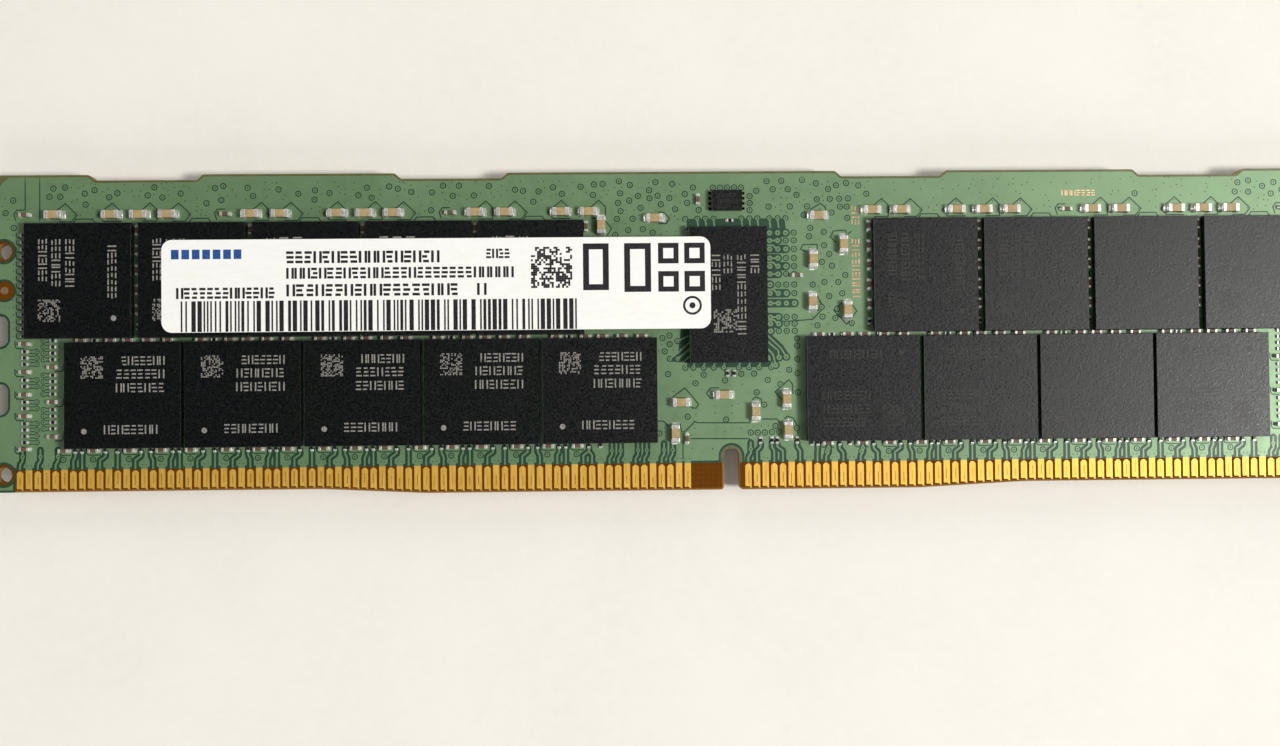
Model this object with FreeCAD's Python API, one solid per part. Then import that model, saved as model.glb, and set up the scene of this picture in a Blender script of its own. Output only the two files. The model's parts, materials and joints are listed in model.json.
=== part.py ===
import FreeCAD, Part
import math
import os

# A registered memory module: a 288-contact circuit board with 18 memory packages on each
# face, a register chip, a configuration chip, passives and an identification label.
#
# The module lies flat.  Row frame: +X along the module, from the contact-1 end to the other
# end; +Y from the contact edge to the top edge; +Z out of the front face.  The origin is under
# the middle of the module, on the plane through the faces of the back packages.
# Places on the board below are written from its contact-1 end (x) and from its deepest contact
# edge (y), and export() moves them into the row frame.  Lengths are in millimetres.

Vector = FreeCAD.Vector

# Board outline
BOARD_LENGTH = 133.35
BOARD_HEIGHT = 31.25
BOARD_THICKNESS = 1.40
FOIL_THICKNESS = 0.035
CORNER_RADIUS = 0.40
STEP_HEIGHT = 0.50
STEP_START = 32.25
STEP_RUN = 10.20
STEP_RADIUS = 6.0
RECESS_DEPTH = 0.55
RECESS_WIDTH = 11.0
RECESS_OFFSETS = (51.2, 21.6)
RECESS_CORNER_RUN = 0.60
RECESS_RADIUS = 0.45
LATCH_DEPTH = 2.20
LATCH_HEIGHT = 3.00
LATCH_CENTRES = (9.50, 16.10)
LATCH_RADIUS = 0.75
KEY_CENTRE = 72.25
KEY_WIDTH = 1.50
KEY_DEPTH = 4.05
KEY_MOUTH_RADII = (0.30, 0.45)
EDGE_CHAMFER = 0.20

# Tooling holes and fiducials, mirrored to the far end
HOLE_RADIUS = 0.775
HOLE_RING_RADIUS = 1.00
TOOLING_HOLES = ((1.80, 2.20), (1.80, 23.84))
FIDUCIAL_PLACE = (1.86, 20.04)
FIDUCIAL_RADIUS = 0.375
FIDUCIAL_OPENING_RADIUS = 0.925

# Edge contacts
CONTACT_PITCH = 0.85
CONTACT_WIDTH = 0.62
CONTACT_TOP = 2.65
CONTACT_EDGE_GAP = 0.18
SIGNAL_TOP_DROP = 0.12
SIGNAL_SHOULDER = 0.20
SIGNAL_NECK_WIDTH = 0.24
TAIL_LENGTH = 0.15
TAIL_WIDTH = 0.22
FIRST_CONTACT_X = 3.35
LEFT_COUNT = 77
RIGHT_START_X = 73.90
RIGHT_COUNT = 67
CONTACT_WINDOW = (2.90, 130.45)
KEY_MASK_MARGIN = 0.30
LANE_PINS = 11
LANE_POWER_STEPS = (0, 2, 4, 7, 9)

# Contact numbers, counted from the contact-1 end of each face.  A data lane repeats every
# eleven contacts; between the lanes are the command contacts.
FRONT_LANES = ((2, 57), (94, 138))
BACK_LANES = ((3, 58), (95, 139))
FRONT_COMMAND_POWER = (59, 61, 64, 67, 70, 73, 76, 77, 80, 83, 85, 88, 90, 92, 142, 143)
BACK_COMMAND_POWER = (60, 62, 65, 68, 71, 73, 76, 77, 79, 82, 85, 87, 89, 92, 142, 143, 144)

# Memory packages
PACKAGE_LONG = 11.15
PACKAGE_SHORT = 10.25
PACKAGE_HEIGHT = 1.20
BALL_HEIGHT = 0.28
BALL_RADIUS = 0.21
BALL_PITCH = 0.80
BALL_ROWS = 13
BALL_COLUMNS = (-4, -3, -2, 2, 3, 4)
PACKAGE_EDGE_CHAMFER = 0.04
LEFT_GROUP_COUNT = 5
RIGHT_GROUP_COUNT = 4
UPPER_PITCH = 10.90
UPPER_STARTS = (4.12, 86.33)
UPPER_BOTTOM = 15.31
LOWER_PITCH = 11.48
LOWER_STARTS = (7.94, 79.63)
LOWER_BOTTOM = 4.68

# Register clock driver and configuration chip
REGISTER_SIZE = (7.64, 13.30, 1.10)
REGISTER_CENTRE = (72.05, 19.06)
REGISTER_BALL_PITCH = 0.65
REGISTER_BALL_GRID = (11, 19)
REGISTER_BALL_RADIUS = 0.17
SPD_SIZE = (3.00, 2.00, 0.72)
SPD_CENTRE = (72.03, 28.34)
SPD_STANDOFF = 0.03
SPD_PAD_SIZE = (0.45, 0.26)
SPD_PAD_PITCH = 0.50
SPD_PADS_PER_SIDE = 4
SPD_HEAT_PAD_SIZE = (1.50, 1.40)
SPD_PAD_REACH = 0.28

# Passives: length, width, height, length of each metal end
LARGE_CAPACITOR = (1.60, 0.80, 0.80, 0.36)
SMALL_CAPACITOR = (1.00, 0.36, 0.48, 0.22)
RESISTOR = (0.60, 0.30, 0.24, 0.14)
END_OVERLAP = 0.012

# Identification label, a film stuck on the upper front packages and the register
LABEL_X = (17.30, 70.30)
LABEL_Y = (15.76, 24.72)
LABEL_THICKNESS = 0.08
LABEL_RADIUS = 1.00

BOARD_BOTTOM = PACKAGE_HEIGHT
BOARD_TOP = BOARD_BOTTOM + BOARD_THICKNESS
CORE_BOTTOM = BOARD_BOTTOM + FOIL_THICKNESS
CORE_TOP = BOARD_TOP - FOIL_THICKNESS


def export(node, shapes):
    """Write one node's solids, moved from board places to the row frame."""
    group = Part.makeCompound(shapes)
    group.translate(Vector(-BOARD_LENGTH / 2, -BOARD_HEIGHT / 2, 0))
    group.exportStep("parts/" + node + ".step")


def rounded_face(corners):
    """A flat face from (x, y, radius) corners, each rounded by its radius."""
    count = len(corners)
    starts = []
    arcs = []
    ends = []
    for index, (x, y, radius) in enumerate(corners):
        corner = Vector(x, y, 0)
        before = Vector(*corners[index - 1][:2], 0) - corner
        after = Vector(*corners[(index + 1) % count][:2], 0) - corner
        if radius == 0:
            starts.append(corner)
            arcs.append(None)
            ends.append(corner)
            continue
        before.normalize()
        after.normalize()
        half_angle = before.getAngle(after) / 2
        reach = radius / math.tan(half_angle)
        bisector = (before + after).normalize()
        middle = corner + bisector * (radius / math.sin(half_angle) - radius)
        start = corner + before * reach
        end = corner + after * reach
        starts.append(start)
        arcs.append(Part.Arc(start, middle, end).toShape())
        ends.append(end)
    edges = []
    for index in range(count):
        if arcs[index] is not None:
            edges.append(arcs[index])
        following = starts[(index + 1) % count]
        if ends[index].distanceToPoint(following) > 1e-6:
            edges.append(Part.LineSegment(ends[index], following).toShape())
    return Part.Face(Part.Wire(edges))


def slab(face, low, high):
    """Extrude a flat face at z = 0 between two heights."""
    moved = face.translated(Vector(0, 0, low))
    return moved.extrude(Vector(0, 0, high - low))


def block(size, centre, low):
    """A box of (x, y, z) size, centred on a board place, standing on height low."""
    corner = Vector(centre[0] - size[0] / 2, centre[1] - size[1] / 2, low)
    return Part.makeBox(size[0], size[1], size[2], corner)


def rod(radius, place, low, high):
    """A round bar along Z at a board place."""
    return Part.makeCylinder(radius, high - low, Vector(place[0], place[1], low))


def both_ends(place):
    """A place and its mirror image at the far end of the board."""
    return (place, (BOARD_LENGTH - place[0], place[1]))


def hole_places():
    places = []
    for place in TOOLING_HOLES:
        places.extend(both_ends(place))
    return places


def latch_corners():
    """Corners of the two latch notches in the contact-1 end, from the top one down."""
    corners = []
    for centre in sorted(LATCH_CENTRES, reverse=True):
        high = centre + LATCH_HEIGHT / 2
        low = centre - LATCH_HEIGHT / 2
        corners.append((0, high, 0))
        corners.append((LATCH_DEPTH, high, LATCH_RADIUS))
        corners.append((LATCH_DEPTH, low, LATCH_RADIUS))
        corners.append((0, low, 0))
    return corners


def recess_corners():
    """Corners of the shallow recesses in the left half of the top edge, from the middle out."""
    floor = BOARD_HEIGHT - RECESS_DEPTH
    corners = []
    for offset in sorted(RECESS_OFFSETS):
        centre = BOARD_LENGTH / 2 - offset
        right = centre + RECESS_WIDTH / 2
        left = centre - RECESS_WIDTH / 2
        corners.append((right, BOARD_HEIGHT, RECESS_RADIUS))
        corners.append((right - RECESS_CORNER_RUN, floor, RECESS_RADIUS))
        corners.append((left + RECESS_CORNER_RUN, floor, RECESS_RADIUS))
        corners.append((left, BOARD_HEIGHT, RECESS_RADIUS))
    return corners


def left_half_corners():
    """The outline's left half, from the middle of the top edge round to the contact edge."""
    corners = recess_corners()
    corners.append((0, BOARD_HEIGHT, CORNER_RADIUS))
    corners.extend(latch_corners())
    corners.append((0, STEP_HEIGHT, CORNER_RADIUS))
    corners.append((STEP_START, STEP_HEIGHT, STEP_RADIUS))
    corners.append((STEP_START + STEP_RUN, 0, STEP_RADIUS))
    return corners


def key_corners(margin):
    """The key notch: its mouth on the contact edge and its round end."""
    left = KEY_CENTRE - KEY_WIDTH / 2 - margin
    right = KEY_CENTRE + KEY_WIDTH / 2 + margin
    top = KEY_DEPTH + margin
    radius = KEY_WIDTH / 2 + margin
    return [
        (left, 0, KEY_MOUTH_RADII[0]),
        (left, top, radius),
        (right, top, radius),
        (right, 0, KEY_MOUTH_RADII[1]),
    ]


def board_face():
    left = left_half_corners()
    right = [(BOARD_LENGTH - x, y, radius) for x, y, radius in reversed(left)]
    return rounded_face(left + key_corners(0) + right)


def make_core(outline):
    """The glass-fibre laminate, with its contact edge chamfered on both faces."""
    core = slab(outline, CORE_BOTTOM, CORE_TOP)
    contact_edges = []
    for edge in core.Edges:
        box = edge.BoundBox
        flat = box.ZLength < 1e-6
        wide = box.XLength > CONTACT_PITCH
        if flat and wide and box.YMax < STEP_HEIGHT + 1e-6:
            contact_edges.append(edge)
    core = core.makeChamfer(EDGE_CHAMFER, contact_edges)
    for place in hole_places():
        core = core.cut(rod(HOLE_RADIUS, place, 0, BOARD_TOP + 1))
    return core


def make_mask(outline, low, high):
    """Copper foil and solder mask over one face, open at the contacts, holes and fiducials."""
    mask = slab(outline, low, high)
    window_left, window_right = CONTACT_WINDOW
    window_size = (window_right - window_left, 2 * CONTACT_TOP, BOARD_THICKNESS)
    window_centre = ((window_left + window_right) / 2, 0)
    openings = [block(window_size, window_centre, low - BOARD_THICKNESS / 2)]
    key_left, key_top_left, key_top_right, key_right = key_corners(KEY_MASK_MARGIN)
    key_slot = [key_top_left, (key_left[0], -1, 0), (key_right[0], -1, 0), key_top_right]
    openings.append(slab(rounded_face(key_slot), low - 1, high + 1))
    for place in hole_places():
        openings.append(rod(HOLE_RING_RADIUS, place, low - 1, high + 1))
    for place in both_ends(FIDUCIAL_PLACE):
        openings.append(rod(FIDUCIAL_OPENING_RADIUS, place, low - 1, high + 1))
    for opening in openings:
        mask = mask.cut(opening)
    return mask


def contact_edge_height(x):
    """Height of the board's contact edge at x: stepped up towards both ends."""
    from_end = min(x, BOARD_LENGTH - x)
    share = (from_end - STEP_START) / STEP_RUN
    return STEP_HEIGHT * (1 - min(max(share, 0), 1))


def contact_xs():
    left = [FIRST_CONTACT_X + CONTACT_PITCH * step for step in range(LEFT_COUNT)]
    right = [RIGHT_START_X + CONTACT_PITCH * step for step in range(RIGHT_COUNT)]
    return left, right


def is_power(number, lanes, command_power):
    """True if a contact is a power or ground contact."""
    for first, last in lanes:
        if first <= number <= last:
            return (number - first) % LANE_PINS in LANE_POWER_STEPS
    return number in command_power


def contact_face(x, power):
    """One contact: square at the mask line for power, shouldered for a signal."""
    half = CONTACT_WIDTH / 2
    neck = SIGNAL_NECK_WIDTH / 2
    tail_end = contact_edge_height(x) + CONTACT_EDGE_GAP
    low = tail_end + TAIL_LENGTH
    corners = [
        (x - half, low, 0),
        (x + half - TAIL_WIDTH, low, 0),
        (x + half - TAIL_WIDTH / 2, tail_end, 0),
        (x + half, tail_end, 0),
    ]
    if power:
        corners.append((x + half, CONTACT_TOP, 0))
        corners.append((x - half, CONTACT_TOP, 0))
    else:
        top = CONTACT_TOP - SIGNAL_TOP_DROP
        shoulder = top - SIGNAL_SHOULDER
        corners.append((x + half, shoulder, 0))
        corners.append((x + neck, top, 0))
        corners.append((x - neck, top, 0))
        corners.append((x - half, shoulder, 0))
    return rounded_face(corners)


def make_contacts(xs, first_number, low, lanes, command_power):
    contacts = []
    for step, x in enumerate(xs):
        power = is_power(first_number + step, lanes, command_power)
        contacts.append(slab(contact_face(x, power), low, low + FOIL_THICKNESS))
    return contacts


def export_contacts():
    left, right = contact_xs()
    for face, low, lanes, power in (
        ("front", CORE_TOP, FRONT_LANES, FRONT_COMMAND_POWER),
        ("back", BOARD_BOTTOM, BACK_LANES, BACK_COMMAND_POWER),
    ):
        export("contacts_" + face + "_left", make_contacts(left, 1, low, lanes, power))
        right_first = LEFT_COUNT + 1
        export("contacts_" + face + "_right", make_contacts(right, right_first, low, lanes, power))


def place_on(face, shape, place, turned=False):
    """Put a shape that stands on z = 0 on the front or back of the board."""
    placed = shape.copy()
    if turned:
        placed.rotate(Vector(0, 0, 0), Vector(0, 0, 1), 90)
    if face == "front":
        height = BOARD_TOP
    else:
        placed.rotate(Vector(0, 0, 0), Vector(1, 0, 0), 180)
        height = BOARD_BOTTOM
    placed.translate(Vector(place[0], place[1], height))
    return placed


def chip_body(size, standoff):
    """A moulded package from its stand-off to its top, with a broken top edge."""
    body = block((size[0], size[1], size[2] - standoff), (0, 0), standoff)
    top_edges = [edge for edge in body.Edges if edge.BoundBox.ZMin > size[2] - 1e-6]
    return body.makeChamfer(PACKAGE_EDGE_CHAMFER, top_edges)


def solder_ball(radius):
    """A collapsed solder ball between the board and a package, as a short column."""
    return rod(radius, (0, 0), 0, BALL_HEIGHT)


def row_centres(starts, pitch, width):
    """Centres along X of one row's packages: the left group, then the right group."""
    centres = []
    for start, count in zip(starts, (LEFT_GROUP_COUNT, RIGHT_GROUP_COUNT)):
        centres.extend(start + width / 2 + pitch * step for step in range(count))
    return centres


def package_places():
    """Every memory package on a face: row name, place and size in X and Y."""
    places = []
    upper_y = UPPER_BOTTOM + PACKAGE_LONG / 2
    for number, x in enumerate(row_centres(UPPER_STARTS, UPPER_PITCH, PACKAGE_SHORT), 1):
        places.append(("upper_" + str(number), (x, upper_y), (PACKAGE_SHORT, PACKAGE_LONG)))
    lower_y = LOWER_BOTTOM + PACKAGE_SHORT / 2
    for number, x in enumerate(row_centres(LOWER_STARTS, LOWER_PITCH, PACKAGE_LONG), 1):
        places.append(("lower_" + str(number), (x, lower_y), (PACKAGE_LONG, PACKAGE_SHORT)))
    return places


def memory_ball_offsets(upright):
    """Ball places under one package: thirteen rows of three and three."""
    offsets = []
    for row in range(BALL_ROWS):
        along = (row - (BALL_ROWS - 1) / 2) * BALL_PITCH
        for column in BALL_COLUMNS:
            across = column * BALL_PITCH
            offsets.append((across, along) if upright else (along, across))
    return offsets


def export_memory(face):
    ball = solder_ball(BALL_RADIUS)
    balls = []
    for name, place, size in package_places():
        body = chip_body((size[0], size[1], PACKAGE_HEIGHT), BALL_HEIGHT)
        export("memory_" + face + "_" + name, [place_on(face, body, place)])
        for across, along in memory_ball_offsets(name.startswith("upper")):
            balls.append(place_on(face, ball, (place[0] + across, place[1] + along)))
    export("memory_solder_balls_" + face, balls)


def export_register():
    body = chip_body(REGISTER_SIZE, BALL_HEIGHT)
    export("register_clock_driver", [place_on("front", body, REGISTER_CENTRE)])
    ball = solder_ball(REGISTER_BALL_RADIUS)
    columns, rows = REGISTER_BALL_GRID
    balls = []
    for column in range(columns):
        for row in range(rows):
            x = REGISTER_CENTRE[0] + (column - (columns - 1) / 2) * REGISTER_BALL_PITCH
            y = REGISTER_CENTRE[1] + (row - (rows - 1) / 2) * REGISTER_BALL_PITCH
            balls.append(place_on("front", ball, (x, y)))
    export("register_solder_balls", balls)


def export_spd():
    """The configuration and temperature chip, on four pads a side and a heat pad."""
    body = chip_body(SPD_SIZE, SPD_STANDOFF)
    export("spd_sensor_chip", [place_on("front", body, SPD_CENTRE)])
    length, width = SPD_PAD_SIZE
    pad = block((length, width, SPD_STANDOFF), (0, 0), 0)
    heat_pad = block((*SPD_HEAT_PAD_SIZE, SPD_STANDOFF), (0, 0), 0)
    pads = [place_on("front", heat_pad, SPD_CENTRE)]
    side_x = SPD_SIZE[0] / 2 + SPD_PAD_REACH - length / 2
    for side in (-side_x, side_x):
        for row in range(SPD_PADS_PER_SIDE):
            y = SPD_CENTRE[1] + (row - (SPD_PADS_PER_SIDE - 1) / 2) * SPD_PAD_PITCH
            pads.append(place_on("front", pad, (SPD_CENTRE[0] + side, y)))
    export("spd_sensor_pads", pads)


def mirrored(places):
    """Places at the contact-1 end, followed by their mirror images at the far end."""
    both = []
    for x, y, turned in places:
        both.append((x, y, turned))
        both.append((BOARD_LENGTH - x, y, turned))
    return both


def column(x, top, count, pitch, turned=False):
    """A vertical column of equally spaced passives, from its top one down."""
    return [(x, top - pitch * step, turned) for step in range(count)]


# Large capacitors stand above the upper packages, in a pattern that repeats over two packages.
CELL_LENGTH = 2 * UPPER_PITCH
CELL_STARTS = (4.28, 86.80)
CELL_SPANS = ((5.20, 58.80), (85.30, 129.90))
CELL_COUNT = 3
CELL_CAPACITORS = (-0.45, 2.42, 7.90, 10.60, 13.35)
CELL_SMALL_CAPACITOR = 18.90
CAPACITOR_ROW_Y = 27.34
CENTRE_LARGE_CAPACITORS = (
    (64.95, 26.66, False),
    (81.04, 26.83, False),
    (67.33, 8.59, False),
    (71.57, 9.29, False),
    (59.70, 25.99, True),
    (66.76, 5.57, True),
    (83.49, 23.99, True),
    (80.48, 22.54, True),
    (80.36, 18.37, True),
    (83.82, 17.55, True),
    (74.66, 7.62, True),
    (77.71, 8.82, True),
    (77.83, 5.79, True),
)
CENTRE_SMALL_CAPACITORS = (
    (58.20, 25.90, True),
    (67.88, 5.06, True),
    (78.88, 20.97, False),
    (69.20, 28.49, True),
)
CENTRE_RESISTORS = (
    (71.94, 11.40, True),
    (72.60, 11.40, True),
    (72.33, 26.42, False),
)

# Two columns of passives stand between each end of the board and the lower packages.
OUTER_COLUMN_X = 3.85
INNER_COLUMN_X = 6.55
OUTER_CAPACITOR_YS = (14.84, 12.13, 9.95, 7.87, 4.67)
INNER_CAPACITOR_YS = (12.60, 9.22, 5.86)
OUTER_RESISTOR_GROUPS = ((14.11, 3), (11.35, 2), (9.22, 2), (7.15, 4))
INNER_RESISTOR_GROUPS = ((15.16, 4), (11.81, 4), (8.47, 4))
COLUMN_PITCH = 0.61

# A column of resistors stands beside the first and last upper packages.
END_COLUMN_X = 3.74
END_COLUMN_TOP = 25.41
END_COLUMN_COUNT = 15
END_COLUMN_PITCH = 0.70
END_CAPACITOR_PLACE = (3.86, 27.36)

# Small capacitors stand in columns between the upper packages and left of the right-hand group.
GAP_COLUMN_TOP = 25.80
GAP_COLUMN_COUNT = 5
GAP_COLUMN_PITCH = 1.93
GAP_COLUMN_RESISTOR_Y = 16.40

# Between the two rows of packages, each lower package has five capacitors and a resistor.
BETWEEN_ROWS_Y = (LOWER_BOTTOM + PACKAGE_SHORT + UPPER_BOTTOM) / 2
BETWEEN_CAPACITORS = (1.35, 4.20, 5.85, 7.75, 9.70)
BETWEEN_RESISTOR = 2.60

# Beside the data contacts, each lane has six low resistors, which reach just under the edge
# of the lower packages, and three capacitors.
EDGE_ROW_Y = 4.56
EDGE_CAPACITOR_Y = 4.47
LANE_LENGTH = LANE_PINS * CONTACT_PITCH
LANE_STARTS = (FIRST_CONTACT_X + CONTACT_PITCH, RIGHT_START_X + 16 * CONTACT_PITCH)
LANE_COUNTS = (6, 4)
LANE_RESISTORS = (1.40, 2.35, 4.45, 5.10, 7.35, 8.50)
LANE_CAPACITORS = (0.35, 3.39, 6.24)
EDGE_ROW_SPANS = ((7.20, 66.00), (79.66, 126.15))
COMMAND_RESISTORS_X = (75.12, 76.24, 76.76, 78.72)
COMMAND_ROW_Y = 4.80
COMMAND_EDGE_RESISTORS_X = (80.15, 80.75, 82.90, 83.90, 86.25)
COMMAND_EDGE_CAPACITORS_X = (81.74, 85.12)

# The back has decoupling capacitors behind the register.
BACK_GRID_XS = (69.6, 72.0, 74.4)
BACK_GRID_TOP = 24.2
BACK_GRID_COUNT = 6
BACK_GRID_PITCH = 2.10


def cell_row_places(offsets):
    """Capacitors above the upper packages, wherever their repeating cell fits."""
    places = []
    for start, (low, high) in zip(CELL_STARTS, CELL_SPANS):
        for cell in range(CELL_COUNT):
            for offset in offsets:
                x = start + cell * CELL_LENGTH + offset
                if low < x < high:
                    places.append((x, CAPACITOR_ROW_Y, False))
    return places


def gap_column_xs():
    """Middles of the gaps between the upper packages, and of the one left of the right group."""
    gap = UPPER_PITCH - PACKAGE_SHORT
    left, right = UPPER_STARTS
    xs = [left - gap / 2 + UPPER_PITCH * step for step in range(1, LEFT_GROUP_COUNT)]
    xs.extend(right - gap / 2 + UPPER_PITCH * step for step in range(RIGHT_GROUP_COUNT))
    return xs


def large_capacitor_places(face):
    places = cell_row_places(CELL_CAPACITORS)
    if face == "front":
        places.extend(CENTRE_LARGE_CAPACITORS)
    else:
        for x in BACK_GRID_XS[::2]:
            places.extend(column(x, BACK_GRID_TOP, BACK_GRID_COUNT, BACK_GRID_PITCH, True))
    return places


def between_rows_places(offsets):
    starts = row_centres(LOWER_STARTS, LOWER_PITCH, 0)
    return [(start + offset, BETWEEN_ROWS_Y, False) for start in starts for offset in offsets]


def lane_places(offsets, y, turned):
    """Passives between the lower packages and the data contacts, clear of the end columns."""
    places = []
    for start, count, (low, high) in zip(LANE_STARTS, LANE_COUNTS, EDGE_ROW_SPANS):
        for lane in range(count):
            for offset in offsets:
                x = start + lane * LANE_LENGTH + offset
                if low < x < high:
                    places.append((x, y, turned))
    return places


def small_capacitor_places(face):
    end_columns = [(OUTER_COLUMN_X, y, False) for y in OUTER_CAPACITOR_YS]
    end_columns.extend((INNER_COLUMN_X, y, False) for y in INNER_CAPACITOR_YS)
    end_columns.append((*END_CAPACITOR_PLACE, False))
    places = mirrored(end_columns)
    places.extend(cell_row_places((CELL_SMALL_CAPACITOR,)))
    places.extend(between_rows_places(BETWEEN_CAPACITORS))
    places.extend(lane_places(LANE_CAPACITORS, EDGE_CAPACITOR_Y, False))
    places.extend((x, EDGE_CAPACITOR_Y, False) for x in COMMAND_EDGE_CAPACITORS_X)
    for x in gap_column_xs():
        places.extend(column(x, GAP_COLUMN_TOP, GAP_COLUMN_COUNT, GAP_COLUMN_PITCH, True))
    if face == "front":
        places.extend(CENTRE_SMALL_CAPACITORS)
    else:
        middle_x = BACK_GRID_XS[1]
        places.extend(column(middle_x, BACK_GRID_TOP, BACK_GRID_COUNT, BACK_GRID_PITCH, True))
    return places


def resistor_places(face):
    end_columns = column(END_COLUMN_X, END_COLUMN_TOP, END_COLUMN_COUNT, END_COLUMN_PITCH)
    for x, groups in (
        (OUTER_COLUMN_X, OUTER_RESISTOR_GROUPS),
        (INNER_COLUMN_X, INNER_RESISTOR_GROUPS),
    ):
        for top, count in groups:
            end_columns.extend(column(x, top, count, COLUMN_PITCH))
    places = mirrored(end_columns)
    places.extend(between_rows_places((BETWEEN_RESISTOR,)))
    places.extend(lane_places(LANE_RESISTORS, EDGE_ROW_Y, True))
    places.extend((x, COMMAND_ROW_Y, True) for x in COMMAND_RESISTORS_X)
    places.extend((x, EDGE_ROW_Y, True) for x in COMMAND_EDGE_RESISTORS_X)
    places.extend((x, GAP_COLUMN_RESISTOR_Y, True) for x in gap_column_xs())
    if face == "front":
        places.extend(CENTRE_RESISTORS)
    return places


def passive_shapes(size):
    """A two-ended passive: its body, and its two metal ends, lying along X on z = 0."""
    length, width, height, end = size
    inner = (length - 2 * end, width - 2 * END_OVERLAP, height - 2 * END_OVERLAP)
    body = block(inner, (0, 0), END_OVERLAP)
    end_x = (length - end) / 2
    ends = [block((end, width, height), (x, 0), 0) for x in (-end_x, end_x)]
    return body, ends


def place_passives(size, places_by_face):
    """Bodies and metal ends of one size of passive at every place on both faces."""
    body, ends = passive_shapes(size)
    bodies = []
    metal = []
    for face, places in places_by_face:
        for x, y, turned in places:
            bodies.append(place_on(face, body, (x, y), turned))
            metal.extend(place_on(face, end, (x, y), turned) for end in ends)
    return bodies, metal


def export_passives():
    for face in ("front", "back"):
        bodies, ends = place_passives(LARGE_CAPACITOR, [(face, large_capacitor_places(face))])
        export("capacitor_bodies_" + face, bodies)
        export("capacitor_ends_" + face, ends)
    for name, size, places in (
        ("small_capacitor", SMALL_CAPACITOR, small_capacitor_places),
        ("resistor", RESISTOR, resistor_places),
    ):
        by_face = [(face, places(face)) for face in ("front", "back")]
        bodies, ends = place_passives(size, by_face)
        export(name + "_bodies", bodies)
        export(name + "_ends", ends)


def make_label():
    left, right = LABEL_X
    low, high = LABEL_Y
    corners = [(left, low), (right, low), (right, high), (left, high)]
    face = rounded_face([(x, y, LABEL_RADIUS) for x, y in corners])
    top = BOARD_TOP + PACKAGE_HEIGHT
    return slab(face, top, top + LABEL_THICKNESS)


def make_fiducials():
    pads = []
    for place in both_ends(FIDUCIAL_PLACE):
        for low in (BOARD_BOTTOM, CORE_TOP):
            pads.append(rod(FIDUCIAL_RADIUS, place, low, low + FOIL_THICKNESS))
    return pads


def main():
    os.makedirs("parts", exist_ok=True)
    outline = board_face()
    export("circuit_board", [make_core(outline)])
    export("solder_mask_front", [make_mask(outline, CORE_TOP, BOARD_TOP)])
    export("solder_mask_back", [make_mask(outline, BOARD_BOTTOM, CORE_BOTTOM)])
    export_contacts()
    for face in ("front", "back"):
        export_memory(face)
    export_register()
    export_spd()
    export_passives()
    export("identification_label", [make_label()])
    export("fiducial_pads", make_fiducials())


main()
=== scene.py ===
import json
import math
import random

import bpy
import numpy as np
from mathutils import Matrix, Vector
from mathutils.geometry import delaunay_2d_cdt


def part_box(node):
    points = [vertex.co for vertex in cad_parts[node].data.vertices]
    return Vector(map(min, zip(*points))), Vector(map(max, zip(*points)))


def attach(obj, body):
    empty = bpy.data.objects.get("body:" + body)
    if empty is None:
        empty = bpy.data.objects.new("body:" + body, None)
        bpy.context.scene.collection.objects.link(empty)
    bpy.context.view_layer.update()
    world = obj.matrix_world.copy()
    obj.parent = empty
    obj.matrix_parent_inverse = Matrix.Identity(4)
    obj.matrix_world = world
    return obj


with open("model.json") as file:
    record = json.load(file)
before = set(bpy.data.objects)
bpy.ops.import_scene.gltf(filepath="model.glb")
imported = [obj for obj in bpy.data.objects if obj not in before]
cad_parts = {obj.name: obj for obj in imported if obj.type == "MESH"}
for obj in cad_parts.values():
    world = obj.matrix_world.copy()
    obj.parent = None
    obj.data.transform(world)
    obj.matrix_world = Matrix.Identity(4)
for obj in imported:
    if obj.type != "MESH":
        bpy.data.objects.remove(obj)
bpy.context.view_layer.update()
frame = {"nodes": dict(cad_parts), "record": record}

# A registered memory module lying on white paper, seen from almost straight above.
# Board places are in millimetres: x from the contact-1 end, y from the deepest contact edge,
# and h outwards from the board's surface on the face being dressed.

MM = 0.001
FACES = ("front", "back")

BOARD_LOW, BOARD_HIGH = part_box("circuit_board")
MASK_BOXES = {face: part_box("solder_mask_" + face) for face in FACES}
SURFACE = {"front": MASK_BOXES["front"][1].z, "back": MASK_BOXES["back"][0].z}
OUTWARD = {"front": 1, "back": -1}
BOARD_LENGTH = (BOARD_HIGH.x - BOARD_LOW.x) / MM

# Copper relief
POUR_HEIGHT = 0.03
RIM = 0.22
VIA_OUTER = 0.31
VIA_INNER = 0.205
VIA_DIMPLE = 0.08
PAD_RADIUS = 0.265
TENTED_DOT = 0.062
LINE_HALF = 0.058
TRACE_HALF = 0.085
TRACE_CLEARANCE_HALF = 0.34
VIA_MARGIN = 0.1
NECK_GAP_HALF = 0.21
NECK_HALF = 0.12
NECKED_VIA_OUTER = VIA_OUTER - 0.02
MARK_HEIGHT = 0.004
# Room that a scattered via or dot needs round its middle, and tries for each one
VIA_ROOM = 0.36
DOT_ROOM = 0.15
TRIES = 12

# Camera: its place from the row frame's origin in millimetres, and its turn
CAMERA_PLACE = (-7.511, -7.457, 149.372)
CAMERA_TURN = (0.022977, -0.028405, -0.009991)
CAMERA_LENS = 42.19


# ---- reading the frame

def to_board(corner):
    """A point of the row frame, in metres, as board millimetres with z kept in the row frame."""
    return Vector(((corner[0] - BOARD_LOW.x) / MM, (corner[1] - BOARD_LOW.y) / MM, corner[2] / MM))


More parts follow.
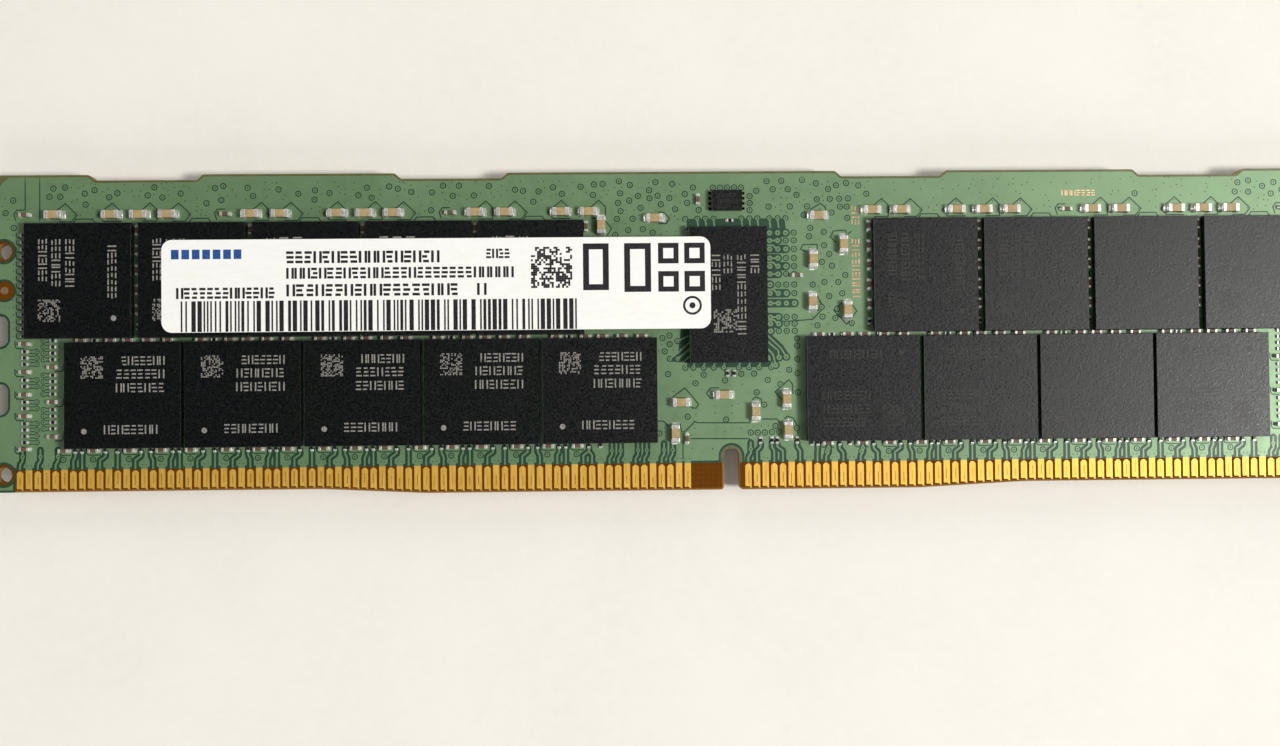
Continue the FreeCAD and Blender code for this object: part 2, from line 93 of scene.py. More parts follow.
def mesh_arrays(node):
    """A CAD node's vertex places, merged where they coincide, and its triangles."""
    mesh = frame["nodes"][node].data
    places = np.empty(len(mesh.vertices) * 3)
    mesh.vertices.foreach_get("co", places)
    mesh.calc_loop_triangles()
    triangles = np.empty(len(mesh.loop_triangles) * 3, dtype=np.int64)
    mesh.loop_triangles.foreach_get("vertices", triangles)
    keys = np.round(places.reshape(-1, 3) * 1e7).astype(np.int64)
    unique, inverse = np.unique(keys, axis=0, return_inverse=True)
    return unique * 1e-7, inverse.reshape(-1)[triangles].reshape(-1, 3)


def solid_boxes(node):
    """The box of each separate solid in a CAD node, as (low, high) in board millimetres."""
    places, triangles = mesh_arrays(node)
    parent = list(range(len(places)))

    def root(index):
        while parent[index] != index:
            parent[index] = parent[parent[index]]
            index = parent[index]
        return index

    for a, b, c in triangles.tolist():
        parent[root(a)] = root(b)
        parent[root(b)] = root(c)
    groups = {}
    for index in range(len(places)):
        groups.setdefault(root(index), []).append(index)
    boxes = []
    for members in groups.values():
        corners = places[members]
        boxes.append((to_board(corners.min(0)), to_board(corners.max(0))))
    return sorted(boxes, key=lambda box: (round(box[0].x, 3), round(box[0].y, 3)))


def board_box(node):
    return tuple(to_board(corner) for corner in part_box(node))


def middle(box):
    return (box[0] + box[1]) / 2


def on_face(box, face):
    """True if a solid stands on that face of the board."""
    return (middle(box).z * MM - SURFACE[face]) * OUTWARD[face] > 0


def face_boxes(node, face):
    return [box for box in solid_boxes(node) if on_face(box, face)]


PACKAGES = {
    face: {
        name[len("memory_" + face + "_"):]: board_box(name)
        for name in frame["nodes"]
        if name.startswith("memory_" + face)
    }
    for face in FACES
}
REGISTER = board_box("register_clock_driver")
SPD = board_box("spd_sensor_chip")
LABEL = board_box("identification_label")


class Passive:
    """One two-ended part: its middle, its directions, and its size along, across and up."""

    def __init__(self, body, ends):
        self.place = middle(body)
        self.turned = body[1].y - body[0].y > body[1].x - body[0].x
        self.along = Vector((0, 1, 0)) if self.turned else Vector((1, 0, 0))
        self.across = Vector((-self.along.y, self.along.x, 0))
        size = ends[0][1] - ends[0][0]
        self.end = abs(size.dot(self.along))
        self.width = abs(size.dot(self.across))
        self.height = size.z
        reach = max(abs((corner - self.place).dot(self.along)) for end in ends for corner in end)
        self.length = 2 * reach


def read_passives(nodes, face):
    """Pairs each body on a face with its two nearest ends."""
    ends = face_boxes(nodes.format("ends"), face)
    centres = np.array([middle(end)[:2] for end in ends])
    passives = []
    for body in face_boxes(nodes.format("bodies"), face):
        distance = np.hypot(*(centres - np.array(middle(body)[:2])).T)
        passives.append(Passive(body, [ends[index] for index in np.argsort(distance)[:2]]))
    return passives


PASSIVES = {
    face: {
        "large": read_passives("capacitor_{}_" + face, face),
        "small": read_passives("small_capacitor_{}", face),
        "resistor": read_passives("resistor_{}", face),
    }
    for face in FACES
}
CONTACTS = {
    face: solid_boxes("contacts_" + face + "_left") + solid_boxes("contacts_" + face + "_right")
    for face in FACES
}
MASK_LINE = max(box[1].y for box in CONTACTS["front"])
MASK_DEPTH = (SURFACE["front"] - BOARD_HIGH.z) / MM
MOUNTS = frame["record"]["mounts"]
KEY = next(to_board(mount["pos_m"]) for mount in MOUNTS if mount["name"] == "key_notch")
BORES = [to_board(mount["pos_m"])[:2] for mount in MOUNTS if mount["kind"] == "bore"]
KEY_HALF = 0.75
KEY_MARGIN = 0.3
# A gap, in millimetres, that keeps two surfaces from coinciding
HAIR = 0.002


# ---- materials

class Look:
    """A procedural material: a Principled shader fed by patterns in object coordinates."""

    def __init__(self, name, **sockets):
        self.material = bpy.data.materials.new(name)
        self.material.use_nodes = True
        self.tree = self.material.node_tree
        self.shader = self.tree.nodes["Principled BSDF"]
        self.coordinates = self.tree.nodes.new("ShaderNodeTexCoord").outputs["Object"]
        self.noises = {}
        for socket, value in sockets.items():
            socket = socket.replace("_", " ").title().replace("Ior", "IOR")
            self.shader.inputs[socket].default_value = value

    def node(self, kind, inputs, **properties):
        """A shader node; its inputs, by name or number, are linked to sockets or set to values."""
        node = self.tree.nodes.new("ShaderNode" + kind)
        for name, value in properties.items():
            setattr(node, name, value)
        for name, value in inputs.items():
            if isinstance(value, bpy.types.NodeSocket):
                self.tree.links.new(value, node.inputs[name])
            else:
                node.inputs[name].default_value = value
        return node

    def noise(self, scale, detail=2, roughness=0.5):
        """Noise, with one scale or one for each axis.  Asked for again, it is the same node."""
        pattern = (scale, detail, roughness)
        if pattern not in self.noises:
            vector = self.coordinates
            if isinstance(scale, tuple):
                vector = self.node("Mapping", {"Vector": vector, "Scale": scale}).outputs["Vector"]
                scale = 1.0
            inputs = {"Vector": vector, "Scale": scale, "Detail": detail, "Roughness": roughness}
            self.noises[pattern] = self.node("TexNoise", inputs).outputs["Fac"]
        return self.noises[pattern]

    def cells(self, scale):
        inputs = {"Vector": self.coordinates, "Scale": scale}
        return self.node("TexVoronoi", inputs).outputs["Distance"]

    def waves(self, scale, distortion, direction):
        inputs = {"Vector": self.coordinates, "Scale": scale, "Distortion": distortion}
        return self.node("TexWave", inputs, bands_direction=direction).outputs["Fac"]

    def part(self, vector, axis):
        return self.node("SeparateXYZ", {"Vector": vector}).outputs[axis]

    def ramp(self, factor, *stops):
        """A colour ramp through (position, colour) stops."""
        node = self.node("ValToRGB", {"Fac": factor})
        elements = node.color_ramp.elements
        while len(elements) < len(stops):
            elements.new(1.0)
        for element, (position, colour) in zip(elements, stops):
            element.position = position
            element.color = (*colour, 1)
        return node.outputs["Color"]

    def span(self, factor, low, high, to_low, to_high):
        """Remaps a factor from one range to another."""
        inputs = {"Value": factor, "From Min": low, "From Max": high}
        inputs.update({"To Min": to_low, "To Max": to_high})
        return self.node("MapRange", inputs).outputs["Result"]

    def mix(self, factor, first, second):
        if isinstance(second, tuple):
            second = (*second, 1)
        return self.node("Mix", {0: factor, 6: first, 7: second}, data_type="RGBA").outputs[2]

    def maths(self, operation, first, second=0.0):
        return self.node("Math", {0: first, 1: second}, operation=operation).outputs[0]

    def colour(self, socket):
        self.tree.links.new(socket, self.shader.inputs["Base Color"])

    def rough(self, pattern, smoothest, roughest, start=0.3, end=0.7):
        """Roughness that follows a noise."""
        factor = self.span(self.noise(*pattern), start, end, smoothest, roughest)
        self.tree.links.new(factor, self.shader.inputs["Roughness"])

    def bump(self, height, strength, distance):
        node = self.node("Bump", {"Height": height, "Strength": strength, "Distance": distance})
        self.tree.links.new(node.outputs["Normal"], self.shader.inputs["Normal"])
        return self.material


# Depth of the finest bumps, in metres
FINE = 0.00002


def plain_look(name, tone, dark, light, rough, bump, grain=None, stops=(0.3, 0.7), **sockets):
    """A look in two tones.  Each pattern is a noise's scale, detail and roughness.

    rough: pattern, least and most; bump: pattern, strength and depth; grain: pattern, where it
    starts and ends, its share and its colour.
    """
    look = Look(name, **sockets)
    base = look.ramp(look.noise(*tone), (stops[0], dark), (stops[1], light))
    if grain:
        pattern, start, end, share, colour = grain
        base = look.mix(look.span(look.noise(*pattern), start, end, 0, share), base, colour)
    look.colour(base)
    look.rough(*rough)
    pattern, strength, depth = bump
    return look.bump(look.noise(*pattern), strength, depth)


def mask_look():
    """Green mask over bare laminate: dark green, and olive along the board's top edge."""
    look = Look("mask_over_laminate", specular_ior_level=0.5, coat_weight=0.2, coat_roughness=0.25)
    base = look.ramp(look.noise(300, 3), (0.3, (0.008, 0.04, 0.02)), (0.7, (0.014, 0.056, 0.028)))
    base = look.mix(look.span(look.noise(7000), 0.4, 0.7, 0, 0.3), base, (0.022, 0.075, 0.036))
    olive = look.ramp(look.noise(900, 3), (0.3, (0.09, 0.09, 0.03)), (0.7, (0.135, 0.125, 0.045)))
    height = look.part(look.coordinates, "Y")
    look.colour(look.mix(look.span(height, 0.01484, 0.01488, 0, 1), base, olive))
    look.rough((1200,), 0.38, 0.5)
    return look.bump(look.noise(5200), 0.12, FINE)


def laminate_look():
    """Glass-fibre laminate: brown faces with a faint weave, and layered edges."""
    look = Look("glass_fibre_laminate", specular_ior_level=0.06)
    weave = look.maths("MULTIPLY", look.waves(620, 1.2, "X"), look.waves(620, 1.2, "Y"))
    face = look.ramp(weave, (0.0, (0.102, 0.031, 0.001)), (1.0, (0.15, 0.05, 0.002)))
    face = look.mix(look.noise(900, 3), face, (0.12, 0.039, 0.001))
    layers = look.waves(1250, 0.6, "Z")
    edge = look.ramp(layers, (0.15, (0.19, 0.088, 0.018)), (0.75, (0.4, 0.22, 0.06)))
    edge = look.mix(look.span(look.noise(2600, 3), 0.35, 0.7, 0, 0.55), edge, (0.27, 0.145, 0.038))
    normal = look.node("NewGeometry", {}).outputs["Normal"]
    flatness = look.maths("ABSOLUTE", look.part(normal, "Z"))
    look.colour(look.mix(look.span(flatness, 0.6, 0.95, 0, 1), edge, face))
    look.rough((1500,), 0.42, 0.62)
    return look.bump(weave, 0.15, 0.00003)


def mould_look():
    """Black moulding compound: near black, with glassy filler flecks that catch the light."""
    look = Look("mould_compound", specular_ior_level=0.5)
    tone = look.noise(2600, 3)
    base = look.ramp(tone, (0.35, (0.0004, 0.0008, 0.0012)), (0.7, (0.001, 0.0016, 0.002)))
    flecks = look.ramp(look.cells(6200), (0.1, (1, 1, 1)), (0.22, (0, 0, 0)))
    chance = look.ramp(look.noise(4300), (0.57, (0, 0, 0)), (0.66, (1, 1, 1)))
    look.colour(look.mix(look.maths("MULTIPLY", flecks, chance), base, (0.05, 0.054, 0.054)))
    look.rough((5600,), 0.27, 0.46, 0.32, 0.68)
    return look.bump(look.noise(4600, 3, 0.65), 0.45, 0.00004)


def solder_look():
    """Reflowed solder: bright, with dull grains and flux stains."""
    look = Look("reflowed_solder", metallic=0.7)
    base = look.ramp(look.cells(5200), (0.1, (0.56, 0.56, 0.54)), (0.6, (0.84, 0.83, 0.8)))
    stains = look.span(look.noise(1500, 3), 0.5, 0.75, 0, 0.5)
    look.colour(look.mix(stains, base, (0.36, 0.36, 0.33)))
    look.rough((2500,), 0.16, 0.38)
    return look.bump(look.noise(3000, 3), 0.35, 0.00004)


def ceramic_look(name, tone, dark, light, speck, smoothest):
    """Capacitor ceramic with fine grain and sintering shade."""
    rough = ((2600,), smoothest, smoothest + 0.18)
    grain = ((9000,), 0.4, 0.7, 0.4, speck)
    bump = ((7000,), 0.15, FINE)
    return plain_look(name, tone, dark, light, rough, bump, grain, specular_ior_level=0.45)


def ink_look(name, dark, light):
    """Thermal-transfer ink with slight voids."""
    look = Look(name, specular_ior_level=0.4)
    look.colour(look.ramp(look.noise(6500, 3), (0.35, dark), (0.8, light)))
    look.rough((6500, 3), 0.38, 0.52)
    return look.material


def laser_look(name, dark, light, smoothest=0.6, roughest=0.8):
    """Laser-etched mark: grey, broken up by the filler grain."""
    grain = (8200, 3, 0.7)
    return plain_look(
        name, grain, dark, light, (grain, smoothest, roughest), (grain, 0.3, FINE),
        stops=(0.32, 0.62), specular_ior_level=0.3,
    )


# Green mask over copper: light green, with faint clouding and a fine orange peel
POUR = plain_look(
    "mask_over_copper", (160, 3), (0.138, 0.243, 0.117), (0.172, 0.29, 0.144),
    ((1400,), 0.38, 0.46), ((5200,), 0.12, FINE),
    ((9000,), 0.35, 0.65, 0.35, (0.202, 0.322, 0.17)), metallic=0.35, specular_ior_level=0.9,
)
# Mask thinned out over bare laminate: grey olive
RIM_FILM = plain_look(
    "mask_rim", (1300, 3), (0.07, 0.078, 0.034), (0.13, 0.135, 0.066),
    ((1300, 3), 0.4, 0.55), ((1300, 3), 0.1, FINE), specular_ior_level=0.4,
)
# Hard gold plating with wiping streaks along each contact
STREAKS = ((9000, 500, 500), 3, 0.6)
GOLD = plain_look(
    "gold_plating", STREAKS, (0.78, 0.43, 0.05), (0.94, 0.6, 0.125),
    (STREAKS, 0.4, 0.52), (STREAKS, 0.1, FINE),
    ((700, 3), 0.35, 0.7, 0.6, (0.84, 0.46, 0.06)), metallic=0.55, specular_ior_level=0.5,
)
# Gold burnished and dulled where a spring has wiped it
WORN_GOLD = plain_look(
    "worn_gold", (3800, 3), (0.3, 0.13, 0.02), (0.52, 0.26, 0.045),
    ((3800, 3), 0.35, 0.5), ((3800, 3), 0.15, FINE), metallic=0.55, specular_ior_level=0.5,
)
# Matt tin plating, slightly rumpled
TIN = plain_look(
    "tin_plating", (3200, 3), (0.66, 0.63, 0.58), (0.88, 0.86, 0.81),
    ((3200, 3), 0.26, 0.42), ((4200,), 0.25, 0.00003), metallic=0.6,
)
# Black resistor overglaze
GLAZE = plain_look(
    "resistor_glaze", (3500, 3), (0.006, 0.006, 0.007), (0.018, 0.018, 0.02),
    ((2500,), 0.22, 0.36), ((5000,), 0.2, FINE), specular_ior_level=0.6,
)
# Satin label film, warm white, with a trace of fibre
FIBRE = ((900, 2600, 900), 3, 0.6)
FILM = plain_look(
    "label_film", FIBRE, (0.87, 0.862, 0.82), (0.905, 0.9, 0.868),
    ((2000,), 0.42, 0.55), (FIBRE, 0.05, FINE),
    specular_ior_level=0.4, coat_weight=0.1, coat_roughness=0.4,
)
# Bare finished copper, pinkish gold
COPPER = plain_look(
    "bare_copper", (2600, 3), (0.8, 0.42, 0.24), (0.96, 0.62, 0.42),
    ((2600, 3), 0.3, 0.42), ((2600, 3), 0.12, FINE), metallic=0.9,
)
# Warm white paper with soft mottling
PAPER = plain_look(
    "paper", (55, 4, 0.6), (0.795, 0.765, 0.705), (0.835, 0.808, 0.75),
    ((700,), 0.75, 0.9), ((420, 4, 0.65), 0.25, 0.0002),
    ((900, 3), 0.35, 0.7, 0.4, (0.85, 0.825, 0.77)), specular_ior_level=0.25,
)
# Large capacitors are tan, small ones a greyer brown
TAN = ((1700, 3), (0.32, 0.232, 0.102), (0.42, 0.312, 0.146), (0.5, 0.375, 0.205), 0.4)
BROWN = ((1900, 3), (0.08, 0.046, 0.027), (0.145, 0.088, 0.052), (0.2, 0.135, 0.088), 0.42)
SOLDER = solder_look()
INK = ink_look("black_ink", (0.006, 0.005, 0.007), (0.034, 0.029, 0.034))
BLUE_INK = ink_look("blue_ink", (0.01, 0.055, 0.24), (0.04, 0.12, 0.38))
LASER = laser_look("laser_mark", (0.09, 0.088, 0.08), (0.33, 0.316, 0.286))
# A darker copy of the same laser mark, painted dim to stand in for the sheen that washes the marks out on
# the right-hand packages
SHEEN_DIMMED_LASER = laser_look("laser_mark_painted_dim_for_sheen", (0.008, 0.008, 0.007), (0.05, 0.048, 0.044), 0.34, 0.46)
MOULD = mould_look()
CAD_LOOKS = {
    "circuit_board": laminate_look(),
    "solder_mask": mask_look(),
    "contacts": GOLD,
    "memory": MOULD,
    "memory_solder_balls": SOLDER,
    "register_clock_driver": MOULD,
    "register_solder_balls": SOLDER,
    "spd_sensor_chip": MOULD,
    "spd_sensor_pads": TIN,
    "capacitor_bodies": ceramic_look("capacitor_ceramic", *TAN),
    "capacitor_ends": TIN,
    "small_capacitor_bodies": ceramic_look("small_capacitor_ceramic", *BROWN),
    "small_capacitor_ends": TIN,
    "resistor_bodies": GLAZE,
    "resistor_ends": TIN,
    "identification_label": FILM,
    "fiducial_pads": COPPER,
}


# Radius of the rounding on the passives' bodies and ends, in millimetres
SOFTENED = {"capacitor": 0.055, "small_capacitor": 0.03, "resistor": 0.02}


def soften(node, radius):
    """Rounds a CAD node's sharp edges."""
    weld = node.modifiers.new("weld", "WELD")
    weld.merge_threshold = 1e-7
    bevel = node.modifiers.new("rounding", "BEVEL")
    bevel.width = radius * MM
    bevel.segments = 2
    bevel.limit_method = "ANGLE"
    bevel.angle_limit = math.radians(50)
    bevel.harden_normals = True


def dress_cad_nodes():
    """Gives each CAD node the material whose key is the longest match for its name."""
    for name, node in frame["nodes"].items():
        key = max((key for key in CAD_LOOKS if name.startswith(key)), key=len)
        node.data.materials.clear()
        node.data.materials.append(CAD_LOOKS[key])
        kind = key.rpartition("_")[0]
        if kind in SOFTENED:
            soften(node, SOFTENED[kind])


# ---- building pieces

def place_point(face, x, y, h):
    """A board place and height above one face, as a point of the row frame in metres."""
    return (BOARD_LOW.x + x * MM, BOARD_LOW.y + y * MM, SURFACE[face] + OUTWARD[face] * h * MM)


def add_object(name, data):
    made = bpy.data.objects.new(name, data)
    bpy.context.scene.collection.objects.link(made)
    return made


class Builder:
    """Collects the vertices and faces of one piece on one face of the board."""

    def __init__(self, face):
        self.face = face
        self.points = []
        self.faces = []

    def add(self, points, faces):
        start = len(self.points)
        self.points.extend(place_point(self.face, *point) for point in points)
        for corners in faces:
            self.faces.append([start + corner for corner in corners])

    def loft(self, levels, closed=False):
        """Walls between levels of equally many points: with end caps, or back to the first."""
        count = len(levels[0])
        last = count * (len(levels) - 1)
        faces = []
        if not closed:
            faces = [list(range(count - 1, -1, -1)), list(range(last, last + count))]
        for level in range(len(levels) if closed else len(levels) - 1):
            low = level * count
            high = (level + 1) % len(levels) * count
            for k in range(count):
                after = (k + 1) % count
                faces.append([low + k, low + after, high + after, high + k])
        self.add([point for level in levels for point in level], faces)

    def prism(self, outline, low, high):
        """A plate with a given outline, between two heights."""
        if turning(outline) < 0:
            outline = outline[::-1]
        self.loft([[(x, y, height) for x, y in outline] for height in (low, high)])

    def box(self, left, bottom, right, top, low, high):
        self.prism(rectangle(left, bottom, right, top), low, high)

    def ring(self, x, y, inner, outer, low, high, sides=40):
        """A flat ring."""
        corners = ((inner, low), (outer, low), (outer, high), (inner, high))
        levels = [[(*spot, height) for spot in circle(x, y, radius, sides)] for radius, height in corners]
        self.loft(levels, closed=True)

    def finish(self, name, material, smooth=False):
        """Makes the piece, which rides on the module and takes its finish from a slot."""
        mesh = bpy.data.meshes.new(name)
        faces = self.faces
        if OUTWARD[self.face] < 0:
            faces = [list(reversed(corners)) for corners in faces]
        mesh.from_pydata(self.points, [], faces)
        mesh.materials.append(material)
        if smooth:
            mesh.shade_smooth()
        mesh.update()
        piece = add_object(name, mesh)
        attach(piece, "root")


def turning(outline):
    """Twice the area of an outline: positive if it is anticlockwise."""
    x, y = np.array(outline).T
    return np.sum(x * np.roll(y, -1) - np.roll(x, -1) * y)


def rectangle(left, bottom, right, top):
    return [(left, bottom), (right, bottom), (right, top), (left, top)]


def circle(x, y, radius, sides=14):
    """Points of a circle, anticlockwise."""
    step = 2 * math.pi / sides
    return [(x + radius * math.cos(step * k), y + radius * math.sin(step * k)) for k in range(sides)]


def capsule(start, end, half, sides=5):
    """Outline of a round-ended bar, anticlockwise."""
    angle = math.atan2(end[1] - start[1], end[0] - start[0])
    outline = []
    for centre, turn in ((end, -math.pi / 2), (start, math.pi / 2)):
        for k in range(sides):
            bearing = angle + turn + math.pi * k / (sides - 1)
            outline.append((centre[0] + half * math.cos(bearing), centre[1] + half * math.sin(bearing)))
    return outline


def inside(outline, spots):
    """Which spots lie in an outline, by crossing count."""
    x, y = spots[:, 0], spots[:, 1]
    result = np.zeros(len(spots), dtype=bool)
    x1, y1 = outline[:, 0], outline[:, 1]
    x2, y2 = np.roll(x1, -1), np.roll(y1, -1)
    for ax, ay, bx, by in zip(x1, y1, x2, y2):
        if ay == by:
            continue
        crosses = (ay > y) != (by > y)
        result ^= crosses & (x < (bx - ax) * (y - ay) / (by - ay) + ax)
    return result


# ---- copper relief under the mask

GROUND, GROOVE, ISLAND, DIMPLE = range(4)


class Relief:
    """Raised copper areas, painted in layers: ground, grooves, islands, then dimples."""

    def __init__(self, face):
        self.face = face
        self.layers = [[], [], [], []]
        self.taken = []

    def paint(self, layer, outline):
        self.layers[layer].append(np.array(outline, dtype=float))

    def disc(self, layer, x, y, radius, sides=14):
        self.paint(layer, circle(x, y, radius, sides))

    def path(self, layer, spots, half):
        for start, end in zip(spots, spots[1:]):
            self.paint(layer, capsule(start, end, half))

    def line(self, offsets, x=0, y=0, side=1):
        """A narrow gap between two copper areas, by offsets from a place; side -1 mirrors them."""
        self.path(GROOVE, [(x + side * dx, y + dy) for dx, dy in offsets], LINE_HALF)

    def reserve(self, x, y, half_x, half_y):
        """Keeps scattered vias off a rectangle."""
        self.taken.append((x - half_x, y - half_y, x + half_x, y + half_y))

    def dot(self, x, y):
        self.disc(DIMPLE, x, y, TENTED_DOT, 8)
        self.reserve(x, y, 0.22, 0.22)

    def pad(self, x, y, radius=PAD_RADIUS):
        """A via's own copper disc, with a dimple in its middle."""
        self.disc(ISLAND, x, y, radius, 16)
        self.disc(DIMPLE, x, y, VIA_DIMPLE, 8)
        self.reserve(x, y, VIA_OUTER + VIA_MARGIN, VIA_OUTER + VIA_MARGIN)

    def via(self, x, y, outer=VIA_OUTER):
        """A tented via in its own ring-shaped gap."""
        self.disc(GROOVE, x, y, outer, 18)
        self.pad(x, y, VIA_INNER)

    def lollipop(self, start, end):
        """A via joined by a short trace to a pad, in a shared gap."""
        self.via(*start, NECKED_VIA_OUTER)
        self.path(GROOVE, [start, end], NECK_GAP_HALF)
        self.path(ISLAND, [start, end], NECK_HALF)

    def trace(self, *spots):
        self.path(GROOVE, spots, TRACE_CLEARANCE_HALF)
        self.path(ISLAND, spots, TRACE_HALF)

    def free(self, x, y, radius):
        return not any(
            left - radius < x < right + radius and bottom - radius < y < top + radius
            for left, bottom, right, top in self.taken
        )

    def scatter(self, rng, area, vias, dots):
        """Scatters vias and tented dots over a rectangle, clear of what is there."""
        left, bottom, right, top = area
        for count, radius, draw in ((vias, VIA_ROOM, self.via), (dots, DOT_ROOM, self.dot)):
            placed = 0
            for _ in range(count * TRIES):
                if placed == count:
                    break
                x = rng.uniform(left, right)
                y = rng.uniform(bottom, top)
                if self.free(x, y, radius):
                    draw(x, y)
                    placed += 1

    def build(self, name):
        outlines = [(layer, outline) for layer in range(4) for outline in self.layers[layer]]
        spots = []
        edges = []
        for _, outline in outlines:
            start = len(spots)
            count = len(outline)
            spots.extend(Vector(spot) for spot in outline)
            edges.extend((start + k, start + (k + 1) % count) for k in range(count))
        corners, _, cells, _, _, _ = delaunay_2d_cdt(spots, edges, [], 0, 1e-4)
        corners = np.array([tuple(corner) for corner in corners])
        cells = np.array([cell for cell in cells if len(cell) == 3])
        centres = corners[cells].mean(axis=1)
        order = np.argsort(centres[:, 0])
        sorted_x = centres[order, 0]
        raised = np.zeros(len(cells), dtype=bool)
        for layer, outline in outlines:
            low, high = outline.min(0), outline.max(0)
            first, last = np.searchsorted(sorted_x, (low[0], high[0]))
            near = order[first:last]
            near = near[(centres[near, 1] >= low[1]) & (centres[near, 1] <= high[1])]
            hit = near[inside(outline, centres[near])]
            raised[hit] = layer in (GROUND, ISLAND)
        raise_cells(self.face, name, corners, cells[raised])


def outer_edges(triangles):
    """Edges that belong to one triangle only, in its direction."""
    edges = {(tri[k], tri[(k + 1) % 3]) for tri in triangles for k in range(3)}
    return sorted((start, end) for start, end in edges if (end, start) not in edges)


def raise_cells(face, name, corners, cells):
    """Turns flat triangles into one closed raised piece with upright walls."""
    a, b, c = (corners[cells[:, k]] for k in range(3))
    turn = (b[:, 0] - a[:, 0]) * (c[:, 1] - a[:, 1]) - (b[:, 1] - a[:, 1]) * (c[:, 0] - a[:, 0])
    cells = np.where(turn[:, None] < 0, cells[:, ::-1], cells)
    used, inverse = np.unique(cells, return_inverse=True)
    cells = inverse.reshape(-1, 3)
    count = len(used)
    builder = Builder(face)
    builder.points = [place_point(face, *corners[k], h) for h in (POUR_HEIGHT, 0.0) for k in used]
    tops = cells.tolist()
    builder.faces = tops + [[tri[2] + count, tri[1] + count, tri[0] + count] for tri in tops]
    for start, end in outer_edges(tops):
        builder.faces.append([end, start, start + count, end + count])
    builder.finish(name, POUR)


def mask_outline(face):
    """The outer outline of the solder mask, anticlockwise, in board millimetres."""
    places, triangles = mesh_arrays("solder_mask_" + face)
    flat = np.abs(places[triangles][:, :, 2] - SURFACE[face]).max(axis=1) < 1e-6
    following = dict(outer_edges(triangles[flat].tolist()))
    loops = []
    while following:
        start, spot = following.popitem()
        loop = [start]
        while spot != start:
            loop.append(spot)
            spot = following.pop(spot)
        loops.append(np.array([tuple(to_board(places[k]))[:2] for k in loop]))
    outer = max(loops, key=lambda loop: np.ptp(loop[:, 0]))
    return outer if turning(outer) > 0 else outer[::-1]


def inset(outline, distance):
    """An anticlockwise outline moved inwards, with mitred corners."""
    before = outline - np.roll(outline, 1, axis=0)
    after = np.roll(outline, -1, axis=0) - outline
    before /= np.linalg.norm(before, axis=1)[:, None]
    after /= np.linalg.norm(after, axis=1)[:, None]
    normal = np.stack([-(before + after)[:, 1], (before + after)[:, 0]], axis=1)
    normal /= np.linalg.norm(normal, axis=1)[:, None]
    square = np.stack([-after[:, 1], after[:, 0]], axis=1)
    reach = distance / np.maximum((normal * square).sum(axis=1), 0.4)
    return outline + normal * reach[:, None]


# Capacitor outlines in the copper above the packages, from the capacitor's middle: a gap line
# round one end, and the vias in it.
HOUSES = {
    "right": (
        ((0.25, 0.5), (1.0, 1.12), (2.15, 0.0), (1.6, -0.65), (0.4, -0.65)),
        ((1.0, 0.85), (1.9, 0.0)),
    ),
    "left": (
        ((0.75, 0.45), (0.05, 1.15), (-1.35, 0.0), (-0.8, -0.62), (0.9, -0.62)),
        ((0.05, 0.85), (-1.05, 0.0)),
    ),
    "gable": (
        ((0.25, 0.5), (1.0, 1.15), (1.65, 0.5), (1.65, -0.62), (0.3, -0.62)),
        ((1.0, 0.85),),
    ),
}
HOUSE_CYCLE = ("right", "left", "gable", "right", "gable")
CELL_ROW_Y = 27.34
CELL_STARTS = (4.28, 86.8)
CELL_LENGTH = 21.8
CELL_TRAPEZIUMS = (5.25, 16.4)
TRAPEZIUM = ((-1.1, 26.5), (-0.8, 26.95), (0.8, 26.95), (1.1, 26.5))
# A gap line at a small capacitor's left end, from its middle
SMALL_OUTLINE = ((-0.1, 0.5), (-0.8, 0.5), (-1.1, 0.1), (-0.9, -0.5))

# Columns of passives at both ends: where their vias stand, from the board's near end
OUTER_COLUMN = (3.85, 4.95)
INNER_COLUMN = (6.55, 5.6)
END_COLUMN = (3.74, 2.72)
# Gap lines beside a resistor of the end column, and beside small capacitors at the contact
# edge and in the columns, from the capacitor's middle
END_HOOK = ((3.44, -0.24), (3.12, -0.24), (3.0, -0.1), (3.0, 0.24))
EDGE_HOOK = ((-0.75, 0.3), (-0.75, -0.25), (-0.5, -0.42), (0.6, -0.42))
CAPACITOR_HOOK = ((0.15, -0.42), (0.8, -0.42), (0.98, -0.2), (0.98, 0.3))

# Gap lines and vias round the register, the key and the configuration chip
CENTRE_LINES = (
    ((65.0, 6.78), (65.6, 6.77), (66.1, 6.3)),
    ((67.36, 5.72), (67.7, 5.71), (68.7, 6.7), (68.94, 6.58), (74.07, 6.52), (74.08, 6.83)),
    ((68.25, 5.03), (73.94, 4.97), (74.39, 4.52)),
    ((67.5, 4.71), (67.5, 3.05)),
    ((75.32, 6.87), (76.73, 6.86), (77.07, 6.52)),
    ((77.38, 16.46), (78.0, 16.45), (80.4, 16.62), (81.55, 17.8), (81.06, 18.37)),
)

